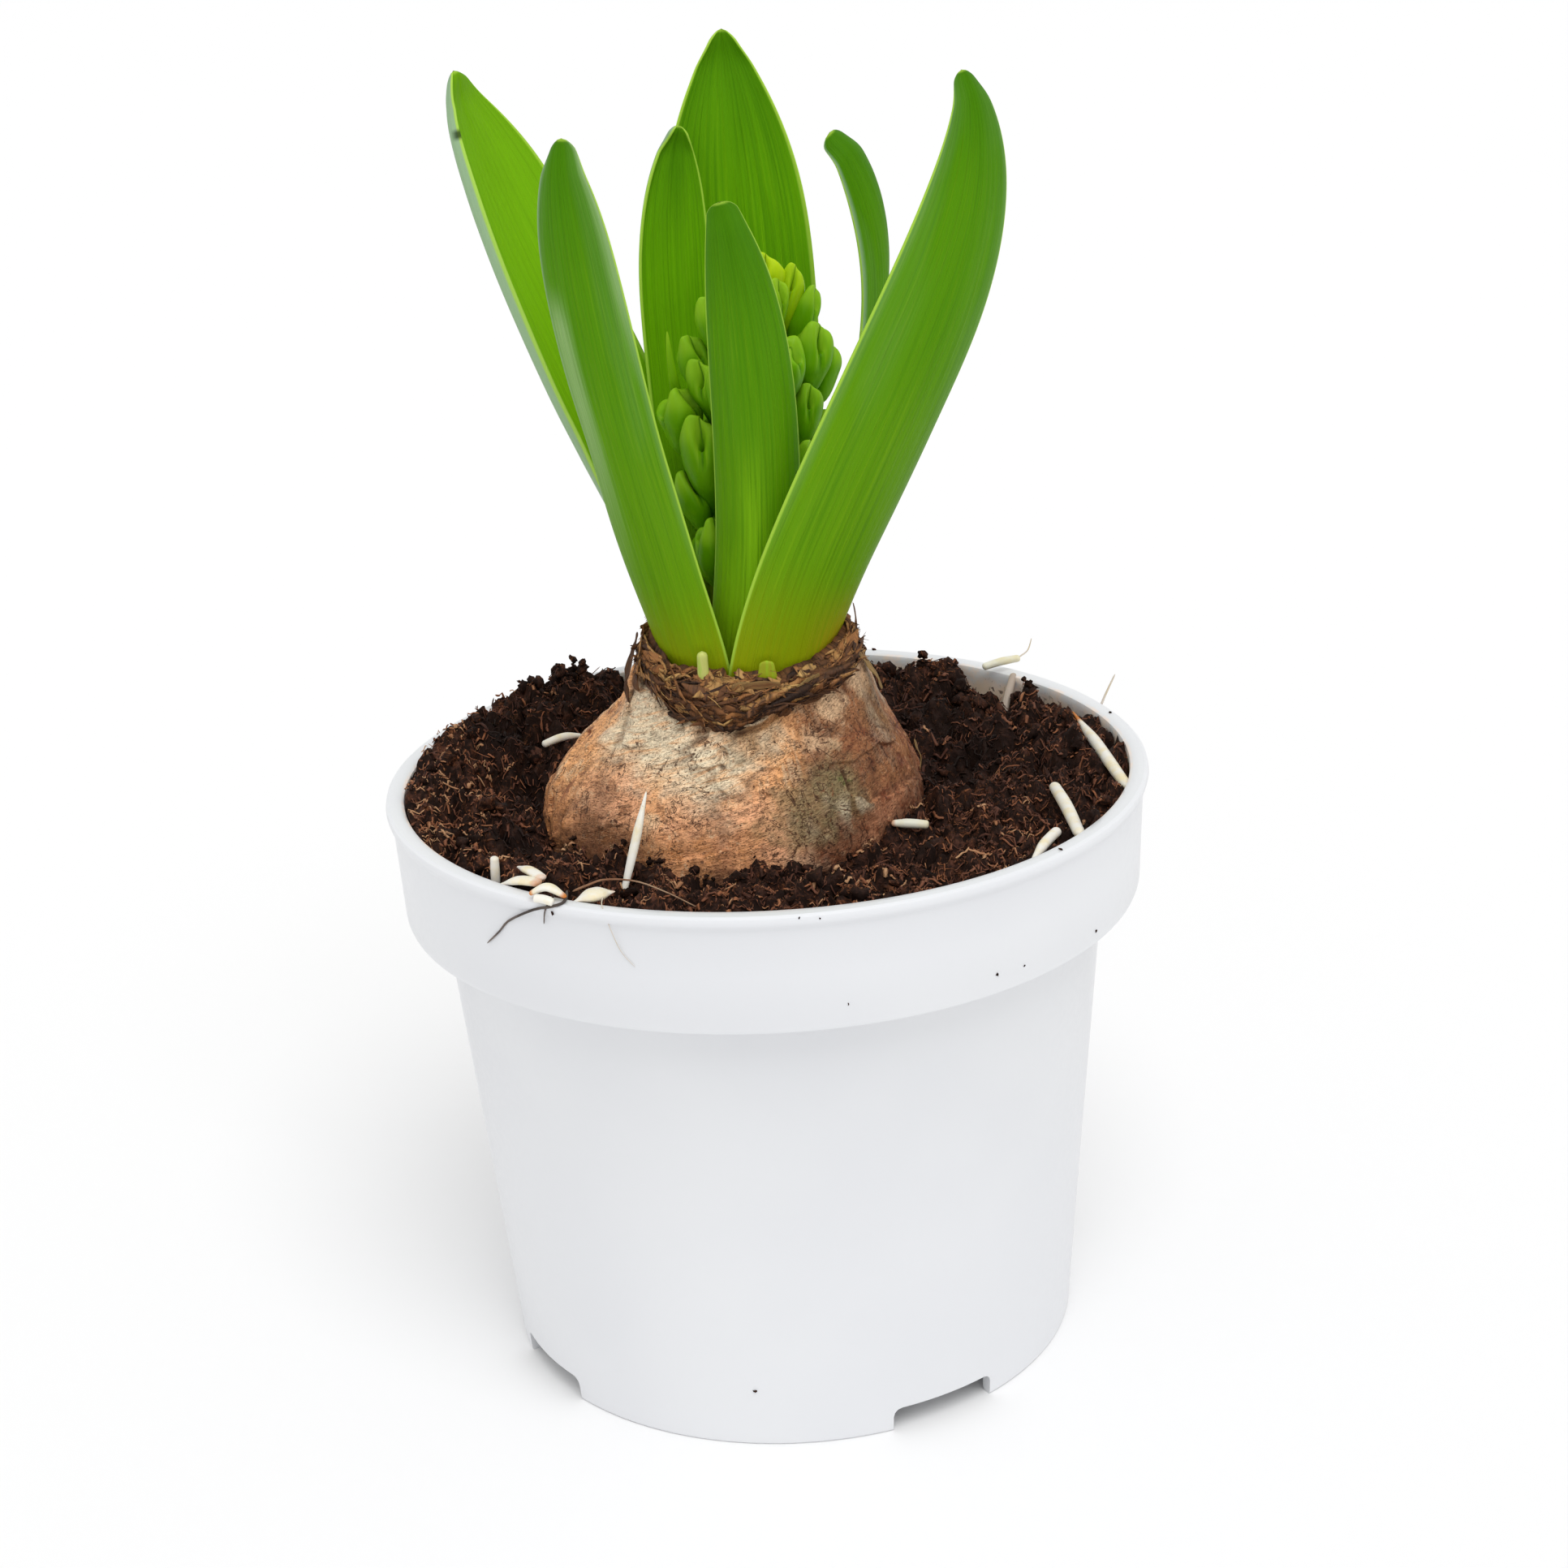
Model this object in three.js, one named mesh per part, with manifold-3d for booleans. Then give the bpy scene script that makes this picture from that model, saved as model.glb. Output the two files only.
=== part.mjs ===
// A potted hyacinth in bud: a bulb half sunk in the soil of a white pot, with seven
// leaves and a spike of closed green buds. Millimetres, +Z up, the pot stands on z = 0
// with its centre on the Z axis, and its front looks along -Y.

import * as THREE from 'three';
import { mergeVertices } from 'three/addons/utils/BufferGeometryUtils.js';
import Module from 'manifold-3d';

const wasm = await Module();
wasm.setup();

// Driving dimensions
const GAP = 0.3;
const GOLDEN_ANGLE = Math.PI * (3 - Math.sqrt(5));

const POT = {
  sides: 48,
  height: 95,
  baseRadius: 46,
  footWidth: 1.8,
  floorUnderside: 4.6,
  floorTop: 6,
  stepHeight: 76,
  stepRadius: 52.7,
  collarRadius: 58.4,
  collarTopRadius: 59.2,
  rimRadius: 60,
  wall: 1.3,
  lip: 2.3,
};
const NOTCH = { count: 4, first: -61, width: 18, height: 4, chamfer: 1.4 };
const DRAIN = { count: 8, radius: 3.5, circle: 32 };

const SOIL = {
  sides: 56,
  level: 90.5,
  rings: [54, 50, 46, 42, 38, 34, 30, 26, 14],
  ledgeRadius: 51,
  bankFrom: 36,
  bankTo: 57,
  bankRise: 2.2,
  coarse: { cell: 9, height: 1.2 },
  fine: { cell: 4.2, height: 1 },
};
// Heaps and hollows of the surface: place, height and how far it spreads
const MOUNDS = [
  { x: -44, y: 28, height: 4.5, spread: 14 },
  { x: -31, y: 43, height: 6.5, spread: 10 },
  { x: -22, y: 46, height: 2.5, spread: 6 },
  { x: -50, y: -6, height: 0.8, spread: 10 },
  { x: -38.5, y: 11, height: -6.5, spread: 9 },
  { x: -33, y: -13, height: -2.5, spread: 6 },
  { x: -8, y: 52, height: -1, spread: 8 },
  { x: 20, y: 44, height: 1.8, spread: 10 },
  { x: 30, y: 13, height: -7, spread: 9 },
  { x: 40, y: 36, height: -0.8, spread: 12 },
  { x: 50, y: -4, height: 1, spread: 12 },
];

const BULB = {
  sides: 40,
  bodyShift: -5.2,
  neckShift: -1.8,
  shiftFrom: 90,
  shiftTo: 112,
  profile: [
    [9, 61.5], [16, 63.6], [22.5, 67.8], [27.2, 73.6], [29.6, 80.5], [30, 87],
    [28.9, 93], [26.5, 98], [23.4, 102.2], [20.2, 105.6], [18.2, 108.4], [17.3, 110.4],
  ],
  neckTop: 111,
  cupRadius: 15.7,
  cupFloorRadius: 14.9,
  cupFloor: 104,
  lumps: 0.018,
};

const PLATE = { radius: 8.4, height: 2.4 };
const ROOTS = { count: 6, radius: 0.9, sides: 5, steps: 4, startRadius: 6, depth: 46 };

const SCALES = {
  sides: 36,
  bottom: 108.2,
  top: 119.6,
  raggedness: 1.3,
  frontDrop: 6,
  lining: 15.9,
  flakes: 24,
  flakeLength: 5.5,
  flakeWidth: 4.8,
  flakeThickness: 0.8,
};

const SHOOTS = [
  { name: 'neck_shoot_left', at: [-8.7, -14.9], base: 111.4, top: 120.2, width: 1.8, depth: 1.5 },
  { name: 'neck_shoot_front', at: [0.9, -16.6], base: 111.4, top: 118.2, width: 3.8, depth: 1 },
];

const LEAF = {
  across: 6,
  along: 13,
  base: [-1.5, 0, 102.5],
  foot: 104.4,
  outerRing: 11.3,
  innerRing: 7.6,
  baseThickness: 1.8,
  middleThickness: 1.7,
  tipThickness: 1.4,
  edgeThinning: 0.5,
  tipWidth: 0.8,
  turnedBy: 0.45,
  cupFrom: 0.8,
  mostCurl: 1.9,
};
// Each leaf: the ring it grows in, the directions it faces at its base, middle and tip,
// the knee and crook that bend its spine, its widths, its widest place along the spine,
// how blunt its point is, and the radii that its blade is cupped to
const LEAVES = [
  {
    name: 'leaf_far_left', ring: LEAF.outerRing, azimuth: 155, face: 136, tipFace: 150,
    knee: [-9.6, 9, 134], crook: [-35.6, 14, 170], tip: [-41.4, 13, 202.8],
    baseWidth: 9.4, width: 22.6, widest: 0.55, bluntness: 3.1, cup: 15, tipCup: 2.5,
  },
  {
    name: 'leaf_front_left', ring: LEAF.outerRing, azimuth: -137, face: -120, tipFace: -112,
    knee: [-12.6, -13.5, 130], crook: [-24.7, -21, 165], tip: [-24, -21, 197.5],
    baseWidth: 14, width: 13.5, widest: 0.57, bluntness: 4.4, cup: 13, tipCup: 3,
  },
  {
    name: 'leaf_back', ring: LEAF.outerRing, azimuth: 85, face: 88, tipFace: 92,
    knee: [2.4, 18, 135], crook: [-0.4, 23.5, 170], tip: [-0.6, 22, 206],
    baseWidth: 15, width: 25, widest: 0.6, bluntness: 2.8, cup: 19, tipCup: 2.5,
  },
  {
    name: 'leaf_inner_left', ring: LEAF.innerRing, azimuth: 125, face: 110, tipFace: 105,
    knee: [-8.4, 13.5, 135], crook: [-12.8, 16, 168], tip: [-8.1, 15, 193.4],
    baseWidth: 12, width: 12, widest: 0.62, bluntness: 3.8, cup: 13, tipCup: 2.5,
  },
  {
    name: 'leaf_front', ring: LEAF.innerRing, azimuth: -86, face: -88, tipFace: -92,
    knee: [2, -13.5, 132], crook: [4.2, -17.5, 160], tip: [-2.1, -21, 187.4],
    baseWidth: 12, width: 12, widest: 0.45, bluntness: 3.8, cup: 11, tipCup: 2.5,
  },
  {
    name: 'leaf_right', ring: LEAF.outerRing, azimuth: -57, face: -62, tipFace: -70,
    knee: [-0.3, -17, 130], crook: [41.6, -25, 175.7], tip: [32.8, -20, 204],
    baseWidth: 16.5, width: 20.1, widest: 0.4, bluntness: 2.7, cup: 17, tipCup: 3,
  },
  {
    name: 'leaf_back_right', ring: LEAF.outerRing, azimuth: 20, face: -9, tipFace: -42,
    knee: [4, 6, 133], crook: [33.4, 8, 168], tip: [15.2, 8, 192.4],
    baseWidth: 9.5, width: 11.4, widest: 0.6, bluntness: 4.6, cup: 8, tipCup: 2.2,
  },
];

const STALK = { radius: 4.4, foot: 104.4, sides: 10 };
// By height: how far the spike's axis stands to the right, and its outer and core radii
const SPIKE_AXIS = [[104.4, -1.5], [128, -1], [150, 0.4], [163, 2.6], [171, 4.4]];
const SPIKE_OUTER = [
  [118, 7.2], [126, 9], [134, 10.8], [142, 12.4], [150, 13.8], [158, 13], [165, 10.6], [172, 7],
];
const SPIKE_CORE = [
  [114, 4.2], [126, 5], [134, 6.2], [142, 7.4], [150, 8], [158, 7], [165, 4.4], [169, 2],
];
const BUDS = {
  count: 33,
  lowest: 114,
  highest: 162.5,
  turn: 5.6,
  length: 14,
  topLength: 9.5,
  topRise: 4.7,
  radius: 3.7,
  lean: 13,
  topLean: 6,
  // Radius and height of the bud's outline, as shares of its radius and length
  profile: [[0.34, 0], [0.86, 0.42], [0.98, 0.74], [0.5, 1]],
};

// Broken pieces of white root: both ends, the radius and how far the middle is bowed up.
// They lie pressed into the soil by their own groove, or cross the rim.
const ROOT_BITS = [
  { from: [37.4, 39.2, 95.2], to: [45.4, 41.2, 96.3], radius: 0.85, bow: 0.3 },
  { from: [40.2, 30.5, 86.6], to: [41.9, 37.9, 93.7], radius: 0.75, bow: 0.6 },
  { from: [51.6, 21.6, 91.4], to: [55.2, -9.4, 93], radius: 1, bow: -0.5 },
  { from: [44.4, -9.4, 92.8], to: [45.8, -32.8, 93.6], radius: 1.15, bow: 1 },
  { from: [39.5, -39.2, 93.4], to: [42.6, -31.6, 92.9], radius: 0.95, bow: 0.4 },
  { from: [19.9, -19.4, 91], to: [25.4, -20, 91.6], radius: 0.9, bow: 0.2 },
  { from: [-36.8, 22.5, 92.6], to: [-30.4, 25.4, 92.9], radius: 0.85, bow: 0.5 },
  { from: [-21.4, -35.4, 89.4], to: [-18, -27.6, 102.4], radius: 0.95, bow: -0.2 },
  { from: [-40.2, -38.6, 91.5], to: [-40.5, -36.2, 97], radius: 0.85, bow: 0 },
  { from: [-39, -38.6, 94.6], to: [-33.6, -43.4, 94.9], radius: 1.15, bow: 0.5 },
  { from: [-37, -33.6, 93.4], to: [-33.9, -40.6, 94.6], radius: 0.9, bow: 0.3 },
  { from: [-35, -46.6, 96.6], to: [-29.2, -46, 95.2], radius: 1, bow: 0.3 },
  { from: [-28.4, -47.2, 94.6], to: [-22.8, -45.6, 94], radius: 1.3, bow: 0.4 },
];
const BIT = { sides: 6, steps: 3, endTaper: 0.62 };

// Draws and curves

/** A repeatable number from 0 to 1 for the i-th thing and its k-th property. */
function drawn(i, k) {
  const value = Math.sin(i * 12.9898 + k * 78.233) * 43758.5453;
  return value - Math.floor(value);
}

function smoothStep(x) {
  const t = Math.min(Math.max(x, 0), 1);
  return t * t * (3 - 2 * t);
}

function mix(a, b, share) {
  return a + (b - a) * share;
}

function radians(degrees) {
  return degrees * Math.PI / 180;
}

/** The value at z on a list of [z, value] pairs, straight between them. */
function along(pairs, z) {
  const next = pairs.findIndex(([height]) => height > z);
  if (next === 0) return pairs[0][1];
  if (next < 0) return pairs[pairs.length - 1][1];
  const [z0, v0] = pairs[next - 1];
  const [z1, v1] = pairs[next];
  return mix(v0, v1, (z - z0) / (z1 - z0));
}

/** Smooth noise from -1 to 1 on a grid of cells. */
function noise(x, y, cell) {
  const gx = Math.floor(x / cell);
  const gy = Math.floor(y / cell);
  const fx = smoothStep(x / cell - gx);
  const fy = smoothStep(y / cell - gy);
  const low = mix(drawn(gx, gy), drawn(gx + 1, gy), fx);
  const high = mix(drawn(gx, gy + 1), drawn(gx + 1, gy + 1), fx);
  return 2 * mix(low, high, fy) - 1;
}

// Meshes and solids

/** Moves every vertex of a geometry by a function of its place. */
function shaped(geometry, place) {
  const position = geometry.attributes.position;
  const vertex = new THREE.Vector3();
  for (let i = 0; i < position.count; i += 1) {
    vertex.fromBufferAttribute(position, i);
    place(vertex);
    position.setXYZ(i, vertex.x, vertex.y, vertex.z);
  }
  return geometry;
}

/** A closed solid from a geometry whose faces meet but share no vertices yet. */
function solidOf(geometry) {
  const bare = new THREE.BufferGeometry();
  bare.setAttribute('position', geometry.attributes.position);
  bare.setIndex(geometry.index);
  const merged = mergeVertices(bare, 1e-4);
  const corners = merged.index.array;
  const triangles = [];
  for (let i = 0; i < corners.length; i += 3) {
    const [a, b, c] = [corners[i], corners[i + 1], corners[i + 2]];
    if (a !== b && b !== c && c !== a) triangles.push(a, b, c);
  }
  return new wasm.Manifold(new wasm.Mesh({
    numProp: 3,
    vertProperties: new Float32Array(merged.attributes.position.array),
    triVerts: new Uint32Array(triangles),
  }));
}

/** The solid's largest body, without the scraps that cutting can leave. */
function largestBody(solid) {
  const bodies = solid.decompose();
  return bodies.reduce((best, body) => (body.volume() > best.volume() ? body : best));
}

function geometryOf(solid) {
  const mesh = solid.getMesh();
  const geometry = new THREE.BufferGeometry();
  geometry.setAttribute('position', new THREE.BufferAttribute(new Float32Array(mesh.vertProperties), 3));
  geometry.setIndex(new THREE.BufferAttribute(new Uint32Array(mesh.triVerts), 1));
  geometry.computeVertexNormals();
  return geometry;
}

/** A body of revolution about the Z axis from [radius, height] pairs, bottom centre first. */
function turned(pairs, sides) {
  const points = pairs.map(([radius, height]) => new THREE.Vector2(radius, height));
  return new THREE.LatheGeometry(points, sides).rotateX(Math.PI / 2);
}

/** A round strand along a curve, tapered by a function of its length share. */
function strand(curve, radius, sides, steps, taper = () => 1) {
  const section = new THREE.Shape();
  for (let i = 0; i < sides; i += 1) {
    const angle = 2 * Math.PI * i / sides;
    const corner = [radius * Math.cos(angle), radius * Math.sin(angle)];
    if (i === 0) section.moveTo(...corner);
    else section.lineTo(...corner);
  }
  const options = { steps, extrudePath: curve, bevelEnabled: false };
  const geometry = new THREE.ExtrudeGeometry(section, options);
  const stations = Array.from({ length: steps + 1 }, (_, i) => curve.getPointAt(i / steps));
  return shaped(geometry, (vertex) => {
    const distances = stations.map((station) => station.distanceTo(vertex));
    const nearest = distances.indexOf(Math.min(...distances));
    vertex.sub(stations[nearest]).multiplyScalar(taper(nearest / steps)).add(stations[nearest]);
  });
}

// Pot

/** Radius of the pot's inner wall above its ledge. */
function innerWall(z) {
  const low = POT.collarRadius - POT.wall;
  const high = POT.rimRadius - POT.lip;
  return mix(low, high, (z - POT.stepHeight) / (POT.height - POT.stepHeight));
}

function makePot() {
  const { height, baseRadius, stepHeight, stepRadius, collarRadius, rimRadius, wall, lip } = POT;
  const ledge = stepHeight + wall;
  const innerBase = baseRadius - wall;
  const profile = [
    [0, POT.floorUnderside], [baseRadius - POT.footWidth, POT.floorUnderside],
    [baseRadius - POT.footWidth, 0], [baseRadius, 0], [stepRadius, stepHeight],
    [collarRadius - 0.8, stepHeight], [collarRadius, stepHeight + 0.9],
    [POT.collarTopRadius, height - 2.6], [rimRadius - 0.15, height - 1.7],
    [rimRadius, height - 0.9], [rimRadius - 0.35, height - 0.2], [rimRadius - 1, height],
    [rimRadius - lip + 0.5, height - 0.1], [rimRadius - lip, height - 0.7],
    [innerWall(ledge + 1), ledge + 1], [innerWall(ledge) - 0.9, ledge],
    [stepRadius - wall, ledge], [innerBase, POT.floorTop], [0, POT.floorTop],
  ];
  let pot = solidOf(turned(profile, POT.sides));
  for (let i = 0; i < NOTCH.count; i += 1) {
    pot = pot.subtract(notchCutter(radians(NOTCH.first + i * 360 / NOTCH.count)));
  }
  for (let i = 0; i < DRAIN.count; i += 1) {
    pot = pot.subtract(drainCutter(2 * Math.PI * i / DRAIN.count));
  }
  return geometryOf(pot);
}

/** A block with chamfered top corners that opens the foot ring. */
function notchCutter(angle) {
  const half = NOTCH.width / 2;
  const { height, chamfer } = NOTCH;
  const outline = new THREE.Shape();
  outline.moveTo(-half, -1);
  outline.lineTo(half, -1);
  outline.lineTo(half, height - chamfer);
  outline.lineTo(half - chamfer, height);
  outline.lineTo(chamfer - half, height);
  outline.lineTo(-half, height - chamfer);
  const depth = 8;
  const block = new THREE.ExtrudeGeometry(outline, { depth, bevelEnabled: false });
  block.rotateX(Math.PI / 2);
  block.rotateZ(Math.PI / 2);
  block.translate(POT.baseRadius - depth / 2, 0, 0);
  return solidOf(block.rotateZ(angle));
}

function drainCutter(angle) {
  const hole = new THREE.CylinderGeometry(DRAIN.radius, DRAIN.radius, 8, 12).rotateX(Math.PI / 2);
  hole.translate(DRAIN.circle * Math.cos(angle), DRAIN.circle * Math.sin(angle), POT.floorTop);
  return solidOf(hole);
}

// Bulb, roots and soil

/** Sideways shift of the bulb's centre: the body leans out to the left of its neck. */
function bulbShift(z) {
  const share = smoothStep((z - BULB.shiftFrom) / (BULB.shiftTo - BULB.shiftFrom));
  return mix(BULB.bodyShift, BULB.neckShift, share);
}

/** Shifts and dents a round bulb outline into the grown one. */
function growBulb(vertex) {
  const angle = Math.atan2(vertex.y, vertex.x);
  const body = smoothStep((vertex.z - 62) / 10) * smoothStep((108 - vertex.z) / 14);
  const lump = Math.sin(2 * angle + 0.8) + 0.7 * Math.sin(3 * angle - 0.6);
  const swell = 1 + BULB.lumps * body * lump;
  vertex.x = vertex.x * swell + bulbShift(vertex.z);
  vertex.y *= swell;
}

/** The bulb's outline, moved out square to itself by an extra. */
function bulbSkin(extra) {
  const last = BULB.profile.length - 1;
  const side = BULB.profile.map(([radius, z], i) => {
    const [r0, z0] = BULB.profile[Math.max(i - 1, 0)];
    const [r1, z1] = BULB.profile[Math.min(i + 1, last)];
    const share = extra / Math.hypot(r1 - r0, z1 - z0);
    return [radius + (z1 - z0) * share, z - (r1 - r0) * share];
  });
  return [[0, side[0][1]], ...side];
}

function bulbSolid() {
  const rim = BULB.neckTop;
  const cup = [
    [17, rim - 0.1], [16.2, rim], [BULB.cupRadius, rim - 0.4],
    [BULB.cupFloorRadius, BULB.cupFloor], [0, BULB.cupFloor],
  ];
  return solidOf(shaped(turned([...bulbSkin(0), ...cup], BULB.sides), growBulb));
}

/** The room that the bulb takes up, with its gap and no cup. */
function bulbRoom() {
  const top = BULB.neckTop + GAP;
  return solidOf(shaped(turned([...bulbSkin(GAP), [17, top], [0, top]], BULB.sides), growBulb));
}

/** The bulb's flat basal plate with the living roots that spread from it. */
function rootsSolid(extra) {
  const top = BULB.profile[0][1] - GAP;
  const { radius, height } = PLATE;
  const plate = new THREE.CylinderGeometry(radius + extra, 0.8 * radius + extra, height + 2 * extra, 16);
  plate.rotateX(Math.PI / 2).translate(BULB.bodyShift, 0, top - height / 2);
  let solid = solidOf(plate);
  for (let i = 0; i < ROOTS.count; i += 1) {
    const curve = rootCurve(i, top, extra);
    const reach = strand(curve, ROOTS.radius + extra, ROOTS.sides, ROOTS.steps);
    solid = solid.add(solidOf(reach));
  }
  return solid;
}

function rootCurve(i, top, extra) {
  const angle = (i + 0.3 * drawn(i, 1)) * 2 * Math.PI / ROOTS.count;
  const out = new THREE.Vector3(Math.cos(angle), Math.sin(angle), 0);
  const foot = new THREE.Vector3(BULB.bodyShift, 0, top - PLATE.height / 2);
  const spread = 16 + 14 * drawn(i, 2);
  const end = top - ROOTS.depth * (0.6 + 0.4 * drawn(i, 3));
  return new THREE.CatmullRomCurve3([
    foot.clone().addScaledVector(out, ROOTS.startRadius),
    foot.clone().addScaledVector(out, spread * 0.8).setZ(mix(top, end, 0.35)),
    foot.clone().addScaledVector(out, spread).setZ(end - extra),
  ]);
}

function soilHeight(x, y) {
  const bank = smoothStep((Math.hypot(x, y) - SOIL.bankFrom) / (SOIL.bankTo - SOIL.bankFrom));
  let z = SOIL.level + SOIL.bankRise * bank;
  for (const mound of MOUNDS) {
    const distance = Math.hypot(x - mound.x, y - mound.y) / mound.spread;
    z += mound.height * Math.exp(-distance * distance);
  }
  z += SOIL.coarse.height * noise(x, y, SOIL.coarse.cell);
  return z + SOIL.fine.height * noise(x, y, SOIL.fine.cell);
}

function makeSoil() {
  const floor = POT.floorTop + GAP;
  const ledge = POT.stepHeight + POT.wall + GAP;
  const inner = POT.baseRadius - POT.wall - GAP;
  const edge = innerWall(SOIL.level) - GAP;
  const sides = [
    [0, floor], [inner, floor], [SOIL.ledgeRadius, ledge],
    [innerWall(ledge) - 2 * GAP, ledge + 1], [edge, SOIL.level],
  ];
  const surface = [...SOIL.rings, 0].map((radius) => [radius, SOIL.level]);
  const block = shaped(turned([...sides, ...surface], SOIL.sides), (vertex) => {
    if (vertex.z < SOIL.level - 1) return;
    const radius = Math.hypot(vertex.x, vertex.y);
    vertex.z = soilHeight(vertex.x, vertex.y);
    if (radius < edge - 1) return;
    const fit = (Math.min(innerWall(vertex.z), POT.rimRadius - POT.lip) - GAP) / radius;
    vertex.x *= fit;
    vertex.y *= fit;
  });
  let soil = solidOf(block).subtract(bulbRoom()).subtract(rootsSolid(GAP));
  for (const bit of ROOT_BITS) {
    soil = soil.subtract(bitSolid(bit, GAP));
  }
  return geometryOf(largestBody(soil));
}

// Loose pieces of root

function bitSolid(bit, extra) {
  const from = new THREE.Vector3(...bit.from);
  const to = new THREE.Vector3(...bit.to);
  const reach = to.clone().sub(from).setLength(extra);
  const middle = from.clone().lerp(to, 0.5);
  middle.z += bit.bow;
  const curve = new THREE.CatmullRomCurve3([from.sub(reach), middle, to.add(reach)]);
  const taper = (share) => (share === 0 || share === 1 ? BIT.endTaper : 1);
  const widened = extra / bit.radius;
  const taperWithRoom = (share) => (taper(share) + widened) / (1 + widened);
  return solidOf(strand(curve, bit.radius + extra, BIT.sides, BIT.steps, taperWithRoom));
}

// Leaves

/** The blade's width at a share t of its length. */
function bladeWidth(leaf, t) {
  if (t < leaf.widest) return mix(leaf.baseWidth, leaf.width, smoothStep(t / leaf.widest));
  const past = (t - leaf.widest) / (1 - leaf.widest);
  return leaf.width * (1 - past ** leaf.bluntness) + LEAF.tipWidth;
}

/** The radius that the blade is cupped to across its width. */
function bladeCup(leaf, t) {
  const body = mix(leaf.ring, leaf.cup, smoothStep(t / 0.4));
  return mix(body, leaf.tipCup, smoothStep((t - LEAF.cupFrom) / (1 - LEAF.cupFrom)));
}

function bladeThickness(t) {
  const body = mix(LEAF.baseThickness, LEAF.middleThickness, smoothStep(t / 0.3));
  return mix(body, LEAF.tipThickness, smoothStep((t - 0.6) / 0.4));
}

function bladeSpine(leaf) {
  const azimuth = radians(leaf.azimuth);
  const root = new THREE.Vector3(...LEAF.base);
  root.x += leaf.ring * Math.cos(azimuth);
  root.y += leaf.ring * Math.sin(azimuth);
  const [knee, crook, tip] = [leaf.knee, leaf.crook, leaf.tip].map((p) => new THREE.Vector3(...p));
  return new THREE.CubicBezierCurve3(root, knee, crook, tip);
}

/** The blade's spine point, outward direction and direction across at a share t. */
function bladeFrame(leaf, spine, t) {
  const tangent = spine.getTangent(t);
  const turnedShare = smoothStep(t / LEAF.turnedBy);
  const tipShare = smoothStep((t - 0.5) / 0.5);
  const facing = mix(leaf.azimuth, leaf.face, turnedShare) + (leaf.tipFace - leaf.face) * tipShare;
  const outward = new THREE.Vector3(Math.cos(radians(facing)), Math.sin(radians(facing)), 0);
  outward.addScaledVector(tangent, -outward.dot(tangent)).normalize();
  return { point: spine.getPoint(t), outward, across: outward.clone().cross(tangent) };
}

/** A leaf's blade: a flat box bent along its spine and cupped round it. */
function bladeSolid(leaf, extra) {
  const spine = bladeSpine(leaf);
  const box = new THREE.BoxGeometry(1, 1, 1, LEAF.across, 1, LEAF.along);
  const blade = solidOf(shaped(box, (vertex) => {
    const [u, side, t] = [2 * vertex.x, 2 * vertex.y, vertex.z + 0.5];
    const { point, outward, across } = bladeFrame(leaf, spine, t);
    const cup = bladeCup(leaf, t);
    const angle = u * (bladeWidth(leaf, t) / 2 + extra) / cup;
    const curl = Math.min(Math.max(angle, -LEAF.mostCurl), LEAF.mostCurl);
    const half = bladeThickness(t) * (1 - LEAF.edgeThinning * u * u) / 2 + extra;
    const radius = cup + side * half;
    vertex.copy(point);
    vertex.addScaledVector(across, radius * Math.sin(curl));
    vertex.addScaledVector(outward, radius * Math.cos(curl) - cup);
  }));
  const below = new THREE.BoxGeometry(60, 60, 40).translate(0, 0, LEAF.foot - extra - 20);
  return blade.subtract(solidOf(below));
}

// Scales and shoots at the neck

/** One dry scale: a tongue that grows from the ring and bends outward. */
function flakeSolid(i) {
  const angle = 2 * Math.PI * (i + 0.8 * drawn(i, 4)) / SCALES.flakes;
  const front = 0.5 - 0.5 * Math.sin(angle);
  const length = SCALES.flakeLength * (0.6 + 0.7 * drawn(i, 5));
  const width = SCALES.flakeWidth * (0.6 + 0.8 * drawn(i, 6));
  const lean = radians(mix(-4, 9, drawn(i, 7)));
  const tongue = new THREE.BoxGeometry(1, 1, 1, 1, 1, 2);
  shaped(tongue, (vertex) => {
    const t = vertex.z + 0.5;
    vertex.set(
      vertex.x * width * (1 - 0.7 * t * t),
      vertex.y * SCALES.flakeThickness + 1.2 * t * t * (drawn(i, 8) - 0.4),
      t * length,
    );
  });
  tongue.rotateY(radians(40 * (drawn(i, 9) - 0.5)));
  tongue.rotateX(-lean);
  const base = mix(SCALES.top - 5, SCALES.bottom + 1, drawn(i, 10)) - 2.5 * front;
  tongue.translate(0, along(BULB.profile.map(([r, z]) => [z, r]), base) + 0.3, base);
  tongue.rotateZ(angle - Math.PI / 2);
  return solidOf(tongue.translate(bulbShift(base), 0, 0));
}

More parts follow.
